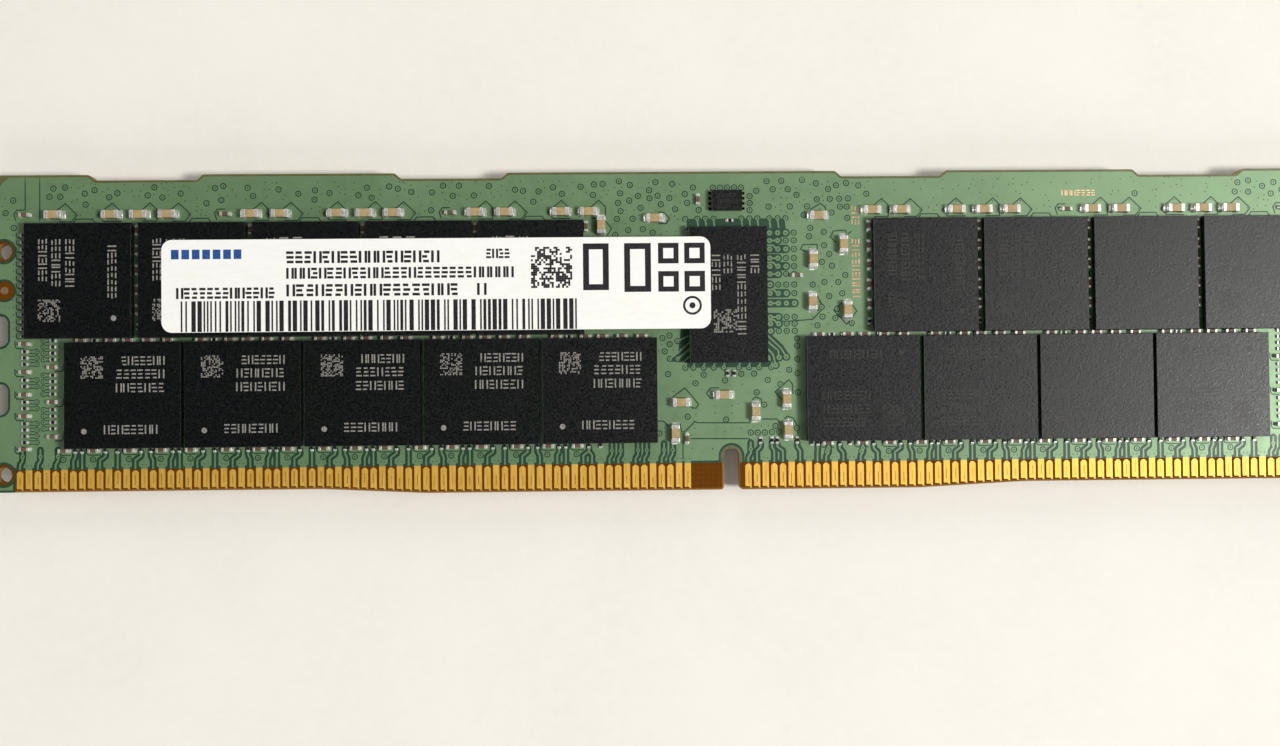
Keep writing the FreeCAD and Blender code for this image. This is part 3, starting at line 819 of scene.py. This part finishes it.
# Gap lines round the middle capacitors: capacitor's place, then the line's offsets from it
CENTRE_OUTLINES = (
    (64.8, 26.75, ((0.5, 0.55), (1.1, 0.5), (1.62, -0.1), (1.3, -0.6), (0.6, -0.62))),
    (80.8, 26.95, ((-0.5, 0.5), (0.5, 1.1), (1.02, 0.65), (1.05, -0.5))),
    (80.4, 22.8, ((-0.55, 0.5), (-1.12, 0.72), (-0.88, 1.2), (0.52, 1.2), (0.55, 0.5))),
    (80.3, 18.55, ((0.5, 0.55), (1.05, -0.55), (0.6, -1.1))),
    (83.3, 24.5, ((-0.5, -0.3), (-1.05, 0.2), (-0.75, 0.82), (0.45, 0.86), (0.55, 0.4), (1.02, 0.76))),
    (83.75, 17.7, ((-0.45, 0.5), (-1.28, -0.2), (0.0, -1.6), (1.02, -0.3), (0.5, 0.45))),
    (77.75, 8.95, ((-0.5, -0.2), (-1.16, 0.58), (0.24, 1.76), (0.58, 1.3), (0.6, 0.4))),
    (74.8, 7.85, ((-0.5, 0.4), (-0.45, 0.92), (-0.15, 1.2), (0.42, 1.0), (0.52, 0.4))),
    (67.3, 8.65, ((-0.72, 0.5), (0.42, 1.34), (1.0, 0.72), (1.78, -0.3), (1.5, -0.66), (0.7, -0.45))),
    (71.55, 9.45, ((-0.5, 0.54), (-1.3, 0.52), (-1.7, 0.0), (-1.3, -0.52), (-0.5, -0.54))),
    (77.9, 5.95, ((-0.5, 0.4), (-0.42, 0.92), (-0.12, 1.16), (0.48, 1.0), (0.8, 0.3), (0.92, -0.6))),
    (66.85, 5.45, ((-0.5, 0.4), (-0.42, 0.9), (-0.1, 1.16), (0.42, 1.0), (0.5, 0.4))),
    (59.5, 26.0, ((0.55, 0.55), (1.2, -0.3), (0.85, -0.9), (0.5, -1.0))),
)
CENTRE_VIAS = (
    (68.8, 10.45), (71.7, 10.7), (75.9, 10.7), (74.8, 9.5), (78.85, 9.46), (76.6, 6.18),
    (74.17, 5.56), (74.86, 5.55), (75.56, 5.55), (76.26, 5.6), (76.96, 5.62), (78.72, 5.95),
    (65.2, 5.57), (74.98, 29.33), (74.32, 28.8), (74.32, 28.12), (74.3, 27.42),
    (68.74, 29.68), (67.94, 29.05), (68.16, 28.17), (69.28, 27.46), (76.17, 27.75),
    (78.95, 28.9), (80.96, 28.45), (82.24, 28.49), (83.17, 28.49), (83.24, 27.7), (83.89, 27.7),
    (80.27, 25.64), (81.59, 25.22), (81.62, 23.9), (82.97, 20.27), (83.68, 20.96),
    (66.3, 12.86), (67.07, 12.86), (66.3, 15.15), (65.6, 14.9), (66.3, 14.3),
    (65.8, 13.6), (67.07, 14.6), (81.61, 20.28), (82.06, 18.9), (78.84, 14.75), (78.84, 14.04),
    (78.84, 12.74), (78.84, 11.34), (69.6, 11.26), (73.3, 11.33), (74.56, 11.34), (83.95, 26.6),
)
CENTRE_DOTS = (
    (66.65, 9.66), (73.37, 10.3), (70.69, 8.2), (72.35, 8.2), (70.68, 7.52), (72.34, 7.5),
    (68.8, 7.41), (74.5, 6.2), (75.2, 6.2), (75.9, 6.2), (66.4, 4.0), (68.4, 4.06),
    (70.4, 4.03),
)
SPD_VIA_XS = (70.72, 71.41, 72.11, 72.8, 73.49)
SPD_VIA_Y = 29.66
REGISTER_TOP_XS = (67.95, 69.14, 69.93, 70.74, 73.48, 74.27, 75.06, 76.24, 77.05, 77.83)
REGISTER_TOP_Y = 26.6
REGISTER_FOOT_XS = (67.82, 68.61, 69.61, 70.59, 71.58, 73.08, 74.06, 75.07, 76.26)
REGISTER_FOOT_Y = 11.97
REGISTER_GRID_XS = (76.24, 77.04, 77.83, 78.62)
ROW_GAP_HALF = 0.42
FAN_GAP_RADIUS = 0.4

# Rows of vias beside the register: height, how many share one wide gap, then the row's trace as
# offsets from the register's edge and the row
STRAIGHT = ((-0.1, 0.0), (0.4, 0.0))
ROUND_FIRST = ((-0.1, 0.38), (0.7, 0.38), (1.08, 0.0))
BOTH = ((-0.1, 0.0), (1.1, 0.0))
REGISTER_ROWS = (
    (25.17, 3, STRAIGHT),
    (24.41, 2, BOTH),
    (23.57, 3, ROUND_FIRST),
    (22.67, 2, BOTH),
    (21.87, 3, ROUND_FIRST),
    (21.11, 2, BOTH),
    (20.07, 1, STRAIGHT),
    (19.21, 3, ROUND_FIRST),
    (18.23, 4, BOTH),
    (16.87, 2, BOTH),
    (16.22, 2, ROUND_FIRST),
    (15.5, 1, STRAIGHT),
)
REGISTER_FAN = (
    ((75.9, 15.1), (77.2, 13.86), (77.75, 12.96)),
    ((75.9, 14.5), (76.95, 13.6), (77.05, 12.9)),
    ((75.9, 13.8), (76.45, 13.2), (76.7, 12.16)),
)
REGISTER_CORNER = ((66.3, 12.6), (68.4, 12.4), (68.4, 15.75), (67.4, 15.75), (67.15, 13.6))
REGISTER_CORNER_TRACES = (
    ((66.3, 12.86), (67.1, 13.45), (68.4, 14.6)),
    ((67.07, 12.86), (68.4, 13.9)),
    ((67.07, 14.6), (68.4, 15.2)),
    ((67.6, 12.5), (68.4, 13.2)),
)
STRIP_LINES = (((3.86, 30.98), (3.86, 27.9)), ((5.26, 30.98), (5.26, 26.84)))
# The bare corner at each end of the board's top edge
CORNER_CUT = ((0.0, 29.06), (2.24, 30.98), (2.24, 31.3), (-0.1, 31.3))

# Scattered vias and tented dots: (left, bottom, right, top), number of vias, number of dots
STRIP_SCATTER = (
    ((5.6, 28.3, 60.0, 30.1), 46, 70),
    ((6.0, 26.7, 58.0, 28.2), 10, 26),
    ((86.0, 28.3, 122.0, 30.1), 1, 44),
    ((122.0, 28.0, 131.0, 30.1), 12, 14),
    ((87.0, 26.9, 128.0, 28.2), 0, 20),
    ((0.9, 24.9, 3.4, 29.0), 3, 8),
    ((129.9, 24.9, 132.4, 29.0), 3, 8),
    ((0.9, 18.2, 2.9, 19.0), 1, 3),
    ((7.5, 30.2, 60.0, 30.5), 0, 24),
    ((86.0, 30.2, 126.0, 30.5), 0, 18),
)
FRONT_SCATTER = (
    ((59.0, 24.9, 68.0, 30.4), 22, 26),
    ((76.0, 26.9, 86.0, 30.4), 16, 24),
    ((80.0, 13.0, 85.4, 26.0), 12, 24),
    ((65.6, 5.2, 79.0, 15.2), 6, 16),
    ((63.0, 13.2, 67.6, 15.2), 3, 6),
)
BACK_SCATTER = (
    ((59.0, 24.9, 86.0, 30.4), 60, 70),
    ((65.6, 4.4, 79.0, 15.2), 34, 40),
    ((59.2, 15.6, 68.6, 24.6), 40, 30),
    ((75.4, 15.6, 85.6, 24.6), 44, 34),
)
# Kept clear for the bare copper dashes, as (left, bottom, right, top)
COPPER_MARK_AREAS = ((84.0, 17.3, 85.4, 28.0), (105.0, 28.5, 109.0, 29.4))
# Round a tooling hole and round a fiducial: radius of the bare disc, and half the square kept clear
HOLE_ROOM = (1.24, 1.3)
FIDUCIAL_ROOM = (1.12, 1.2)
# At the contact edge: tops of the copper over a power contact and of the gap over a signal one,
# and the vias' places
POWER_TOP = 3.05
SIGNAL_GAP_TOP = 3.35
POWER_VIA = (0.2, 3.08, 0.055)
SIGNAL_VIA = (0.25, 3.95)
CAPACITOR_VIA = (-0.1, 3.62)
# Below this height stand only the passives at the contact edge
EDGE_TOP = 5.2


def mirror(x):
    return BOARD_LENGTH - x


def dress_cell_row(relief, passives):
    """Outlines of the capacitors above the upper packages."""
    row = [cap.place for cap in passives["large"] if abs(cap.place.y - CELL_ROW_Y) < 0.1]
    row.sort(key=lambda place: place.x)
    left_count = sum(place.x < BOARD_LENGTH / 2 for place in row)
    for first, group in ((0, row[:left_count]), (-1, row[left_count:])):
        for index, (x, y, _) in enumerate(group, first):
            outline, vias = HOUSES[HOUSE_CYCLE[index % len(HOUSE_CYCLE)]]
            relief.line(outline, x, y)
            for dx, dy in vias:
                relief.dot(x + dx, y + dy)
            relief.reserve(x + 0.4, y + 0.2, 1.9, 0.95)
    for start in CELL_STARTS:
        for cell in range(3):
            for offset in CELL_TRAPEZIUMS:
                x = start + cell * CELL_LENGTH + offset
                if 5.0 < x < 59.0 or 87.0 < x < 129.0:
                    relief.line(TRAPEZIUM, x)
                    relief.reserve(x, 26.7, 1.1, 0.35)
    for cap in passives["small"]:
        if abs(cap.place.y - CELL_ROW_Y) < 0.1:
            x, y = cap.place.x, cap.place.y
            relief.line(SMALL_OUTLINE, x, y)
            relief.dot(x - 0.75, y + 0.15)
            relief.reserve(x - 0.2, y, 1.1, 0.7)


def dress_end_columns(relief, passives):
    """Vias beside the columns of resistors at both ends of the board."""
    for resistor in passives["resistor"]:
        x, y = resistor.place.x, resistor.place.y
        side, end = (-1, mirror) if x > BOARD_LENGTH / 2 else (1, float)
        for column_x, via_x in (OUTER_COLUMN, INNER_COLUMN):
            if abs(end(x) - column_x) < 0.1:
                pad_x = column_x + math.copysign(0.3, via_x - column_x)
                relief.lollipop((end(via_x), y), (end(pad_x), y))
        if abs(end(x) - END_COLUMN[0]) < 0.1:
            relief.dot(end(END_COLUMN[1]), y)
            relief.line(END_HOOK, end(0), y, side)
    for cap in passives["small"]:
        x, y = cap.place.x, cap.place.y
        near_x = min(x, mirror(x))
        if near_x < 7.0 and y < 15.2:
            side = 1 if (near_x > 5.2) == (x < BOARD_LENGTH / 2) else -1
            relief.line(CAPACITOR_HOOK, x, y, side)
            relief.dot(x + side * 0.76, y)


def dress_contact_edge(relief, face):
    """Traces from the signal contacts to the resistors, and copper over the power contacts."""
    resistors = [
        part for part in PASSIVES[face]["resistor"] if part.turned and part.place.y < EDGE_TOP
    ]
    dx, via_y, via_radius = POWER_VIA
    for contact in CONTACTS[face]:
        x = middle(contact).x
        half = (contact[1].x - contact[0].x) / 2
        low = MASK_LINE + HAIR
        if contact[1].y > MASK_LINE - 0.01:
            relief.paint(ISLAND, rectangle(x - half, low, x + half, POWER_TOP))
            relief.disc(DIMPLE, x - dx, via_y, via_radius, 8)
            relief.disc(DIMPLE, x + dx, via_y, via_radius, 8)
            continue
        gap = ((-0.42, low), (0.42, low), (0.26, SIGNAL_GAP_TOP), (-0.26, SIGNAL_GAP_TOP))
        relief.paint(GROOVE, [(x + across, y) for across, y in gap])
        start = low + TRACE_HALF
        near = [part for part in resistors if abs(part.place.x - x) < 0.6]
        if near:
            part = min(near, key=lambda part: abs(part.place.x - x))
            foot = part.place.y - part.length / 2
            relief.trace((x, start), (x, foot - 0.75), (part.place.x, foot - 0.35), (part.place.x, foot))
        else:
            via_x = x + SIGNAL_VIA[0]
            relief.trace((x, start), (x, 3.15), (via_x, 3.55), (via_x, 4.6))
            relief.via(via_x, SIGNAL_VIA[1])
    for cap in PASSIVES[face]["small"]:
        x, y = cap.place.x, cap.place.y
        if y < EDGE_TOP and 7.0 < x < mirror(7.0) and not cap.turned:
            relief.via(x + CAPACITOR_VIA[0], CAPACITOR_VIA[1])
            relief.line(EDGE_HOOK, x, y)


def dress_front_centre(relief):
    """The middle of the front: round the register, the configuration chip and the key."""
    low, high = REGISTER
    foot_xs, top_xs = REGISTER_FOOT_XS, REGISTER_TOP_XS
    relief.paint(GROOVE, rectangle(foot_xs[0], REGISTER_FOOT_Y, foot_xs[-1], low.y + 0.2))
    relief.paint(GROOVE, rectangle(top_xs[0], high.y - 0.2, top_xs[-1], REGISTER_TOP_Y))
    relief.paint(GROOVE, REGISTER_CORNER)
    for spots in REGISTER_CORNER_TRACES:
        relief.path(ISLAND, spots, TRACE_HALF)
    for y, depth, links in REGISTER_ROWS:
        last_x = REGISTER_GRID_XS[depth - 1]
        relief.paint(GROOVE, rectangle(high.x - 0.1, y - ROW_GAP_HALF, last_x, y + ROW_GAP_HALF))
        relief.disc(GROOVE, last_x, y, ROW_GAP_HALF, 16)
        for x in REGISTER_GRID_XS[:depth]:
            relief.pad(x, y)
        for x in REGISTER_GRID_XS[depth:4]:
            relief.via(x, y)
        relief.path(ISLAND, [(high.x + dx, y + dy) for dx, dy in links], TRACE_HALF)
    for spots in REGISTER_FAN:
        relief.trace(*spots)
        relief.disc(GROOVE, *spots[-1], FAN_GAP_RADIUS, 16)
    for spots in REGISTER_FAN:
        relief.pad(*spots[-1])
    for xs, y, edge in ((foot_xs, REGISTER_FOOT_Y, low.y), (top_xs, REGISTER_TOP_Y, high.y)):
        for x in xs:
            relief.via(x, y)
            relief.path(ISLAND, [(x, y), (x + 0.1, edge)], TRACE_HALF)
    for x in SPD_VIA_XS:
        relief.via(x, SPD_VIA_Y)
    for spots in CENTRE_LINES:
        relief.line(spots)
    for x, y in CENTRE_VIAS:
        relief.via(x, y)
    for x, y in CENTRE_DOTS:
        relief.dot(x, y)
    for x, y, offsets in CENTRE_OUTLINES:
        relief.line(offsets, x, y)


def make_relief(face, seed):
    relief = Relief(face)
    relief.paint(GROUND, inset(mask_outline(face), RIM))
    fiducials = [middle(pad)[:2] for pad in solid_boxes("fiducial_pads")]
    for spots, (radius, room) in ((BORES, HOLE_ROOM), (fiducials, FIDUCIAL_ROOM)):
        for spot in spots:
            relief.disc(GROOVE, *spot, radius, 32)
            relief.reserve(*spot, room, room)
    for x, side in ((0.0, 1), (BOARD_LENGTH, -1)):
        relief.paint(GROOVE, [(abs(x - a), b) for a, b in CORNER_CUT])
        for spots in STRIP_LINES:
            relief.line(spots, x, 0, side)
    for part in sum(PASSIVES[face].values(), []):
        half = part.along * part.length / 2 + part.across * part.width / 2
        relief.reserve(part.place.x, part.place.y, abs(half.x) + 0.1, abs(half.y) + 0.1)
    for low, high in PACKAGES[face].values():
        relief.taken.append((low.x, low.y, high.x, high.y))
    dress_cell_row(relief, PASSIVES[face])
    dress_end_columns(relief, PASSIVES[face])
    dress_contact_edge(relief, face)
    areas = STRIP_SCATTER + (FRONT_SCATTER if face == "front" else BACK_SCATTER)
    if face == "front":
        for low, high in (REGISTER, SPD):
            relief.taken.append((low.x, low.y, high.x, high.y))
        relief.taken.extend(COPPER_MARK_AREAS)
        dress_front_centre(relief)
    rng = random.Random(seed)
    for area, vias, dots in areas:
        relief.scatter(rng, area, vias, dots)
    relief.build("copper_pour_" + face)


# ---- solder fillets

# Share of the fillet's height, and share of its reach at that height
FILLET_PROFILE = ((0.0, 1.0), (0.1, 0.66), (0.32, 0.34), (0.64, 0.12), (1.0, 0.0))
# Reach from the end, reach from the sides, share of the part's height
FILLET_SIZES = {
    "large": (0.34, 0.07, 0.7),
    "small": (0.17, 0.04, 0.66),
    "resistor": (0.11, 0.03, 0.8),
}
# The solder's thickness up the end's walls, the share of the end that it wraps, and the bevel of
# its corners: the least one, and the share of the reach added to it
SOLDER_FILM = 0.004
END_SHARE = 0.9
LEAST_CORNER = 0.03
CORNER_SHARE = 0.35


def add_fillet(builder, part, side, sizes):
    """A concave heap of solder round one metal end."""
    reach, skirt, rise = sizes
    along = part.along * side
    across = part.across * side
    levels = []
    for share, spread in FILLET_PROFILE:
        height = share * rise * part.height
        out = part.length / 2 + reach * spread + SOLDER_FILM
        wide = part.width / 2 + skirt * spread + SOLDER_FILM
        inner = part.length / 2 - part.end * END_SHARE
        corner = LEAST_CORNER + CORNER_SHARE * reach * spread
        half = [(inner, wide), (out - corner, wide), (out, wide - corner)]
        outline = [(a, -c) for a, c in half] + half[::-1]
        spots = [part.place + along * a + across * c for a, c in outline]
        levels.append([(spot.x, spot.y, height) for spot in spots])
    builder.loft(levels)


def make_fillets(face):
    builder = Builder(face)
    for kind, parts in PASSIVES[face].items():
        for part in parts:
            for side in (-1, 1):
                add_fillet(builder, part, side, FILLET_SIZES[kind])
    builder.finish("solder_fillets_" + face, SOLDER, smooth=True)


# ---- marks, with no lettering

# Marks on a memory package, on an 11 by 10 millimetre design: (start, base, places, pitch, height)
PACKAGE_LINES = (
    (5.5, 8.0, 7, 0.6, 0.84),
    (5.0, 6.72, 7, 0.67, 0.86),
    (4.95, 5.4, 7, 0.68, 0.86),
    (3.8, 1.38, 8, 0.65, 0.86),
)
PACKAGE_MATRIX = (1.62, 6.75, 2.15, 14)
PACKAGE_DOT = (1.92, 1.66, 0.27)
# Marks on the register, on a 13.3 by 7.64 millimetre design read from its top edge down
REGISTER_LINES = (
    (2.75, 6.0, 3, 0.66, 0.84),
    (2.75, 4.68, 11, 0.72, 0.84),
    (2.75, 3.36, 3, 0.66, 0.84),
    (2.75, 2.2, 5, 0.72, 0.84),
)
REGISTER_MATRIX = (8.1, 2.35, 2.3, 12)
UPRIGHT_SHARE = 0.4
FILLED_SHARE = 0.52
SPD_LINES = ((0.5, 1.3, 5, 0.38, 0.36), (0.5, 0.75, 6, 0.34, 0.36), (0.5, 0.22, 4, 0.34, 0.34))


def glyphs(rng, start, base, places, pitch, height, weight):
    """Stand-ins for lettering: each place holds level strokes or upright ones, as rectangles."""
    stroke = height * weight
    boxes = []
    for place in range(places):
        left = start + pitch * place
        if rng.random() < UPRIGHT_SHARE:
            for shift in (0.08, 0.72):
                x = left + pitch * shift - stroke / 4
                boxes.append((x, base, x + stroke, base + height))
            continue
        for level in (0.0, 0.5, 1.0):
            width = pitch * rng.uniform(0.55, 0.82)
            x = left + rng.uniform(0, pitch * 0.84 - width)
            low = base + (height - stroke) * level
            boxes.append((x, low, x + width, low + stroke))
    return boxes


def design(rng, lines, matrix=None, weight=0.16):
    """The marks of a design: its lines, then its speckled square."""
    boxes = [box for line in lines for box in glyphs(rng, *line, weight)]
    return boxes + (matrix_cells(rng, *matrix) if matrix else [])


def matrix_cells(rng, left, bottom, size, count, share=0.8):
    """A plain speckled square that carries no code."""
    cell = size / count
    boxes = []
    for row in range(count):
        for column in range(count):
            if rng.random() < FILLED_SHARE:
                x = left + column * cell
                y = bottom + row * cell
                boxes.append((x, y, x + share * cell, y + share * cell))
    return boxes


def marking_spot(low, high, face, turn, u, v):
    """A spot of a marking design, turned by quarter turns anticlockwise onto its package."""
    width, height = high.x - low.x, high.y - low.y
    x, y = ((u, v), (width - v, u), (width - u, height - v), (v, height - u))[turn]
    if face == "back":
        x = width - x
    return low.x + x, low.y + y


def add_marks(builder, low, high, turn, boxes, dots=()):
    """Marks on a package's outer face."""
    face = builder.face
    base = max(abs(corner.z * MM - SURFACE[face]) for corner in (low, high)) / MM
    for box in boxes:
        outline = [marking_spot(low, high, face, turn, u, v) for u, v in rectangle(*box)]
        builder.prism(outline, base, base + MARK_HEIGHT)
    for u, v, radius in dots:
        spot = marking_spot(low, high, face, turn, u, v)
        builder.prism(circle(*spot, radius, 24), base, base + MARK_HEIGHT)


def make_package_marks(face, seed):
    """Laser marks: clear on the left-hand packages. On the right-hand packages and the configuration chip
    they are a darker copy of the same mark, painted dim where the sheen washes them out.
    """
    rng = random.Random(seed)
    clear = Builder(face)
    sheen_dimmed = Builder(face)
    for name, (low, high) in sorted(PACKAGES[face].items()):
        left_hand = low.x < BOARD_LENGTH / 2
        turn = 1 if name.startswith("upper") else 0 if left_hand else 2
        boxes = design(rng, PACKAGE_LINES, PACKAGE_MATRIX)
        add_marks(clear if left_hand else sheen_dimmed, low, high, turn, boxes, [PACKAGE_DOT])
    if face == "front":
        add_marks(clear, *REGISTER, 3, design(rng, REGISTER_LINES, REGISTER_MATRIX))
        add_marks(sheen_dimmed, *SPD, 0, design(rng, SPD_LINES))
    clear.finish("package_marks_" + face, LASER)
    sheen_dimmed.finish("sheen_dimmed_package_marks_" + face, SHEEN_DIMMED_LASER)


# Print on the label, from its lower left corner: (start, base, places, pitch, height)
LABEL_LINES = (
    (11.95, 6.62, 17, 0.872, 1.16),
    (31.2, 6.98, 4, 0.6, 0.92),
    (11.95, 5.12, 28, 0.785, 1.06),
    (1.4, 3.25, 13, 0.735, 1.06),
    (11.95, 3.42, 18, 0.93, 1.16),
    (30.3, 3.42, 1, 1.05, 1.16),
)
LABEL_WEIGHT = 0.22
# Blue blocks: (start, base, places, pitch, width, height)
BLUE_BLOCKS = (0.92, 7.08, 7, 1.0, 0.74, 0.92)
# The bars' (left, right, bottom, top)
BARCODE = (1.84, 40.0, 0.05, 3.02)
BAR_WIDTHS = (0.16, 0.16, 0.28, 0.42)
LABEL_MATRIX = (35.55, 4.05, 4.0, 20, 0.98)
# Plain bold marks: frames as (left, bottom, right, top, thickness)
BOLD_FRAMES = (
    (40.6, 3.8, 43.1, 8.35, 0.58),
    (44.6, 3.6, 47.2, 8.35, 0.58),
    (47.9, 6.35, 49.9, 8.35, 0.5),
    (50.45, 6.35, 52.45, 8.35, 0.5),
    (47.9, 3.6, 49.9, 5.6, 0.5),
    (50.45, 3.6, 52.45, 5.6, 0.5),
)
ROUND_MARK = (51.2, 2.25)


def make_label_print():
    rng = random.Random(5)
    low, high = LABEL
    boxes = design(rng, LABEL_LINES, LABEL_MATRIX, LABEL_WEIGHT)
    left, right, bottom, top = BARCODE
    while left < right:
        width = rng.choice(BAR_WIDTHS)
        boxes.append((left, bottom, left + width, top))
        left += width + rng.choice(BAR_WIDTHS)
    for left, bottom, right, top, thick in BOLD_FRAMES:
        boxes += [(x, bottom, x + thick, top) for x in (left, right - thick)]
        boxes += [(left + thick, y, right - thick, y + thick) for y in (bottom, top - thick)]
    ink = Builder("front")
    add_marks(ink, low, high, 0, boxes)
    height = (high.z * MM - SURFACE["front"]) / MM
    x, y = low.x + ROUND_MARK[0], low.y + ROUND_MARK[1]
    ink.ring(x, y, 0.7, 0.92, height, height + MARK_HEIGHT)
    ink.prism(circle(x, y, 0.3, 24), height, height + MARK_HEIGHT)
    ink.finish("label_print", INK)
    blue = Builder("front")
    start, bottom, places, pitch, wide, tall = BLUE_BLOCKS
    lefts = [start + pitch * place for place in range(places)]
    add_marks(blue, low, high, 0, [(x, bottom, x + wide, bottom + tall) for x in lefts])
    blue.finish("label_blue_blocks", BLUE_INK)


# Bare copper dashes on the board: the upright strips (left, bottom, places) and the level one
STRIP_MARKS = ((84.36, 25.92, 3), (84.36, 18.75, 9))
STRIP_PITCH = 0.655
STRIP_WIDTH = 0.76
LEVEL_MARK = (105.25, 28.67, 7, 0.495, 0.55)


def make_copper_marks():
    rng = random.Random(9)
    builder = Builder("front")
    high = POUR_HEIGHT + MARK_HEIGHT
    for left, bottom, places in STRIP_MARKS:
        right = left + STRIP_WIDTH
        for u, v, u2, v2 in design(rng, [(0, 0, places, STRIP_PITCH, STRIP_WIDTH)]):
            builder.box(right - v2, bottom + u, right - v, bottom + u2, 0, high)
    for box in design(rng, [LEVEL_MARK]):
        builder.box(*box, 0, high)
    builder.finish("bare_copper_marks", COPPER)


def key_outline(margin):
    """Up one side of the key notch, round its end and down the other, kept a margin off its wall."""
    half = KEY_HALF + margin
    arc = [math.pi * (1 - step / 20) for step in range(21)]
    spots = [(KEY.x - half, MASK_LINE)]
    spots += [(KEY.x + half * math.cos(a), KEY.y - KEY_HALF + half * math.sin(a)) for a in arc]
    return spots + [(KEY.x + half, MASK_LINE)]


def make_key_rim(face):
    """The thin film of mask left on the laminate round the key notch."""
    builder = Builder(face)
    builder.prism(key_outline(KEY_MARGIN) + key_outline(0.02)[::-1], -MASK_DEPTH, -HAIR)
    builder.finish("key_rim_" + face, RIM_FILM)


def make_wipe_marks(face, seed):
    """Short scratches down the contacts, left by a test socket's springs."""
    rng = random.Random(seed)
    builder = Builder(face)
    for box in CONTACTS[face]:
        outer = box[1].z if face == "front" else box[0].z
        top = (outer - SURFACE[face] / MM) * OUTWARD[face]
        x = middle(box).x + rng.uniform(-0.04, 0.04)
        foot = box[0].y + rng.uniform(0.35, 0.6)
        length = rng.uniform(0.7, 1.2)
        half = rng.uniform(0.018, 0.045)
        builder.box(x - half, foot, x + half, foot + length, top - 0.01, top + HAIR)
    builder.finish("contact_wipe_marks_" + face, WORN_GOLD)


# ---- stage

# The paper, in metres: where its flat part ends, the curve there, the wall's height, and how far
# it lies below the module
FLAT_RADIUS = 1.8
CURVE_RADIUS = 0.7
WALL_TOP = 2.0
FLOOR_DROP = 0.00002
# The lights: direction from the module, distance, size, energy and colour
COOL = (0.97, 0.985, 1.0)
LIGHTS = {
    "key_light": ((2.2, -0.45, 2.6), 1.0, 0.2, 7.4, (1.0, 0.985, 0.955)),
    "ceiling_light": ((1.9, 0.1, 2.4), 0.9, 0.56, 2.1, (1.0, 0.99, 0.97)),
    "upper_fill_light": ((0.2, 2.6, 1.2), 1.4, 0.87, 5.8, COOL),
    "lower_fill_light": ((-0.2, -2.6, 1.2), 1.4, 0.87, 5.8, COOL),
    "left_fill_light": ((-2.6, 0.2, 0.85), 1.4, 0.78, 6.6, COOL),
}


def make_floor():
    """A pale floor that curves up into a backdrop all round."""
    mesh = bpy.data.meshes.new("floor")
    rings = [(0.3, 0.0), (1.0, 0.0), (FLAT_RADIUS, 0.0)]
    for angle in (k * math.pi / 20 for k in range(1, 11)):
        rise = CURVE_RADIUS * (1 - math.cos(angle))
        rings.append((FLAT_RADIUS + CURVE_RADIUS * math.sin(angle), rise))
    rings.append((FLAT_RADIUS + CURVE_RADIUS, WALL_TOP))
    sides = 64
    points = [(x, y, rise - FLOOR_DROP) for radius, rise in rings for x, y in circle(0, 0, radius, sides)]
    faces = [list(range(sides))]
    for ring in range(len(rings) - 1):
        for k in range(sides):
            low, after = ring * sides + k, ring * sides + (k + 1) % sides
            faces.append([low, low + sides, after + sides, after])
    mesh.from_pydata(points, [], faces)
    mesh.materials.append(PAPER)
    mesh.shade_smooth()
    floor = add_object("floor", mesh)


def make_light(name, towards, distance, size, energy, colour):
    """A square area light in a given direction from the module, facing it."""
    data = bpy.data.lights.new(name, "AREA")
    data.size = size
    data.energy = energy
    data.color = colour
    light = add_object(name, data)
    light.location = Vector(towards).normalized() * distance
    light.rotation_mode = "QUATERNION"
    light.rotation_quaternion = Vector(towards).to_track_quat("Z", "Y")


def make_stage():
    make_floor()
    for name, settings in LIGHTS.items():
        make_light(name, *settings)
    scene = bpy.context.scene
    scene.world = bpy.data.worlds.new("room")
    scene.world.use_nodes = True
    background = scene.world.node_tree.nodes["Background"]
    background.inputs["Color"].default_value = (0.93, 0.95, 1.0, 1)
    background.inputs["Strength"].default_value = 0.02
    scene.view_settings.view_transform = "Standard"
    data = bpy.data.cameras.new("camera")
    data.lens = CAMERA_LENS
    data.sensor_width = 36
    data.clip_start = 0.005
    camera = add_object("camera", data)
    camera.location = Vector(CAMERA_PLACE) * MM
    camera.rotation_euler = CAMERA_TURN
    scene.camera = camera


dress_cad_nodes()
for face, seed in (("front", 11), ("back", 23)):
    make_relief(face, seed)
    make_fillets(face)
    make_package_marks(face, seed + 100)
    make_key_rim(face)
    make_wipe_marks(face, seed + 200)
make_label_print()
make_copper_marks()
make_stage()
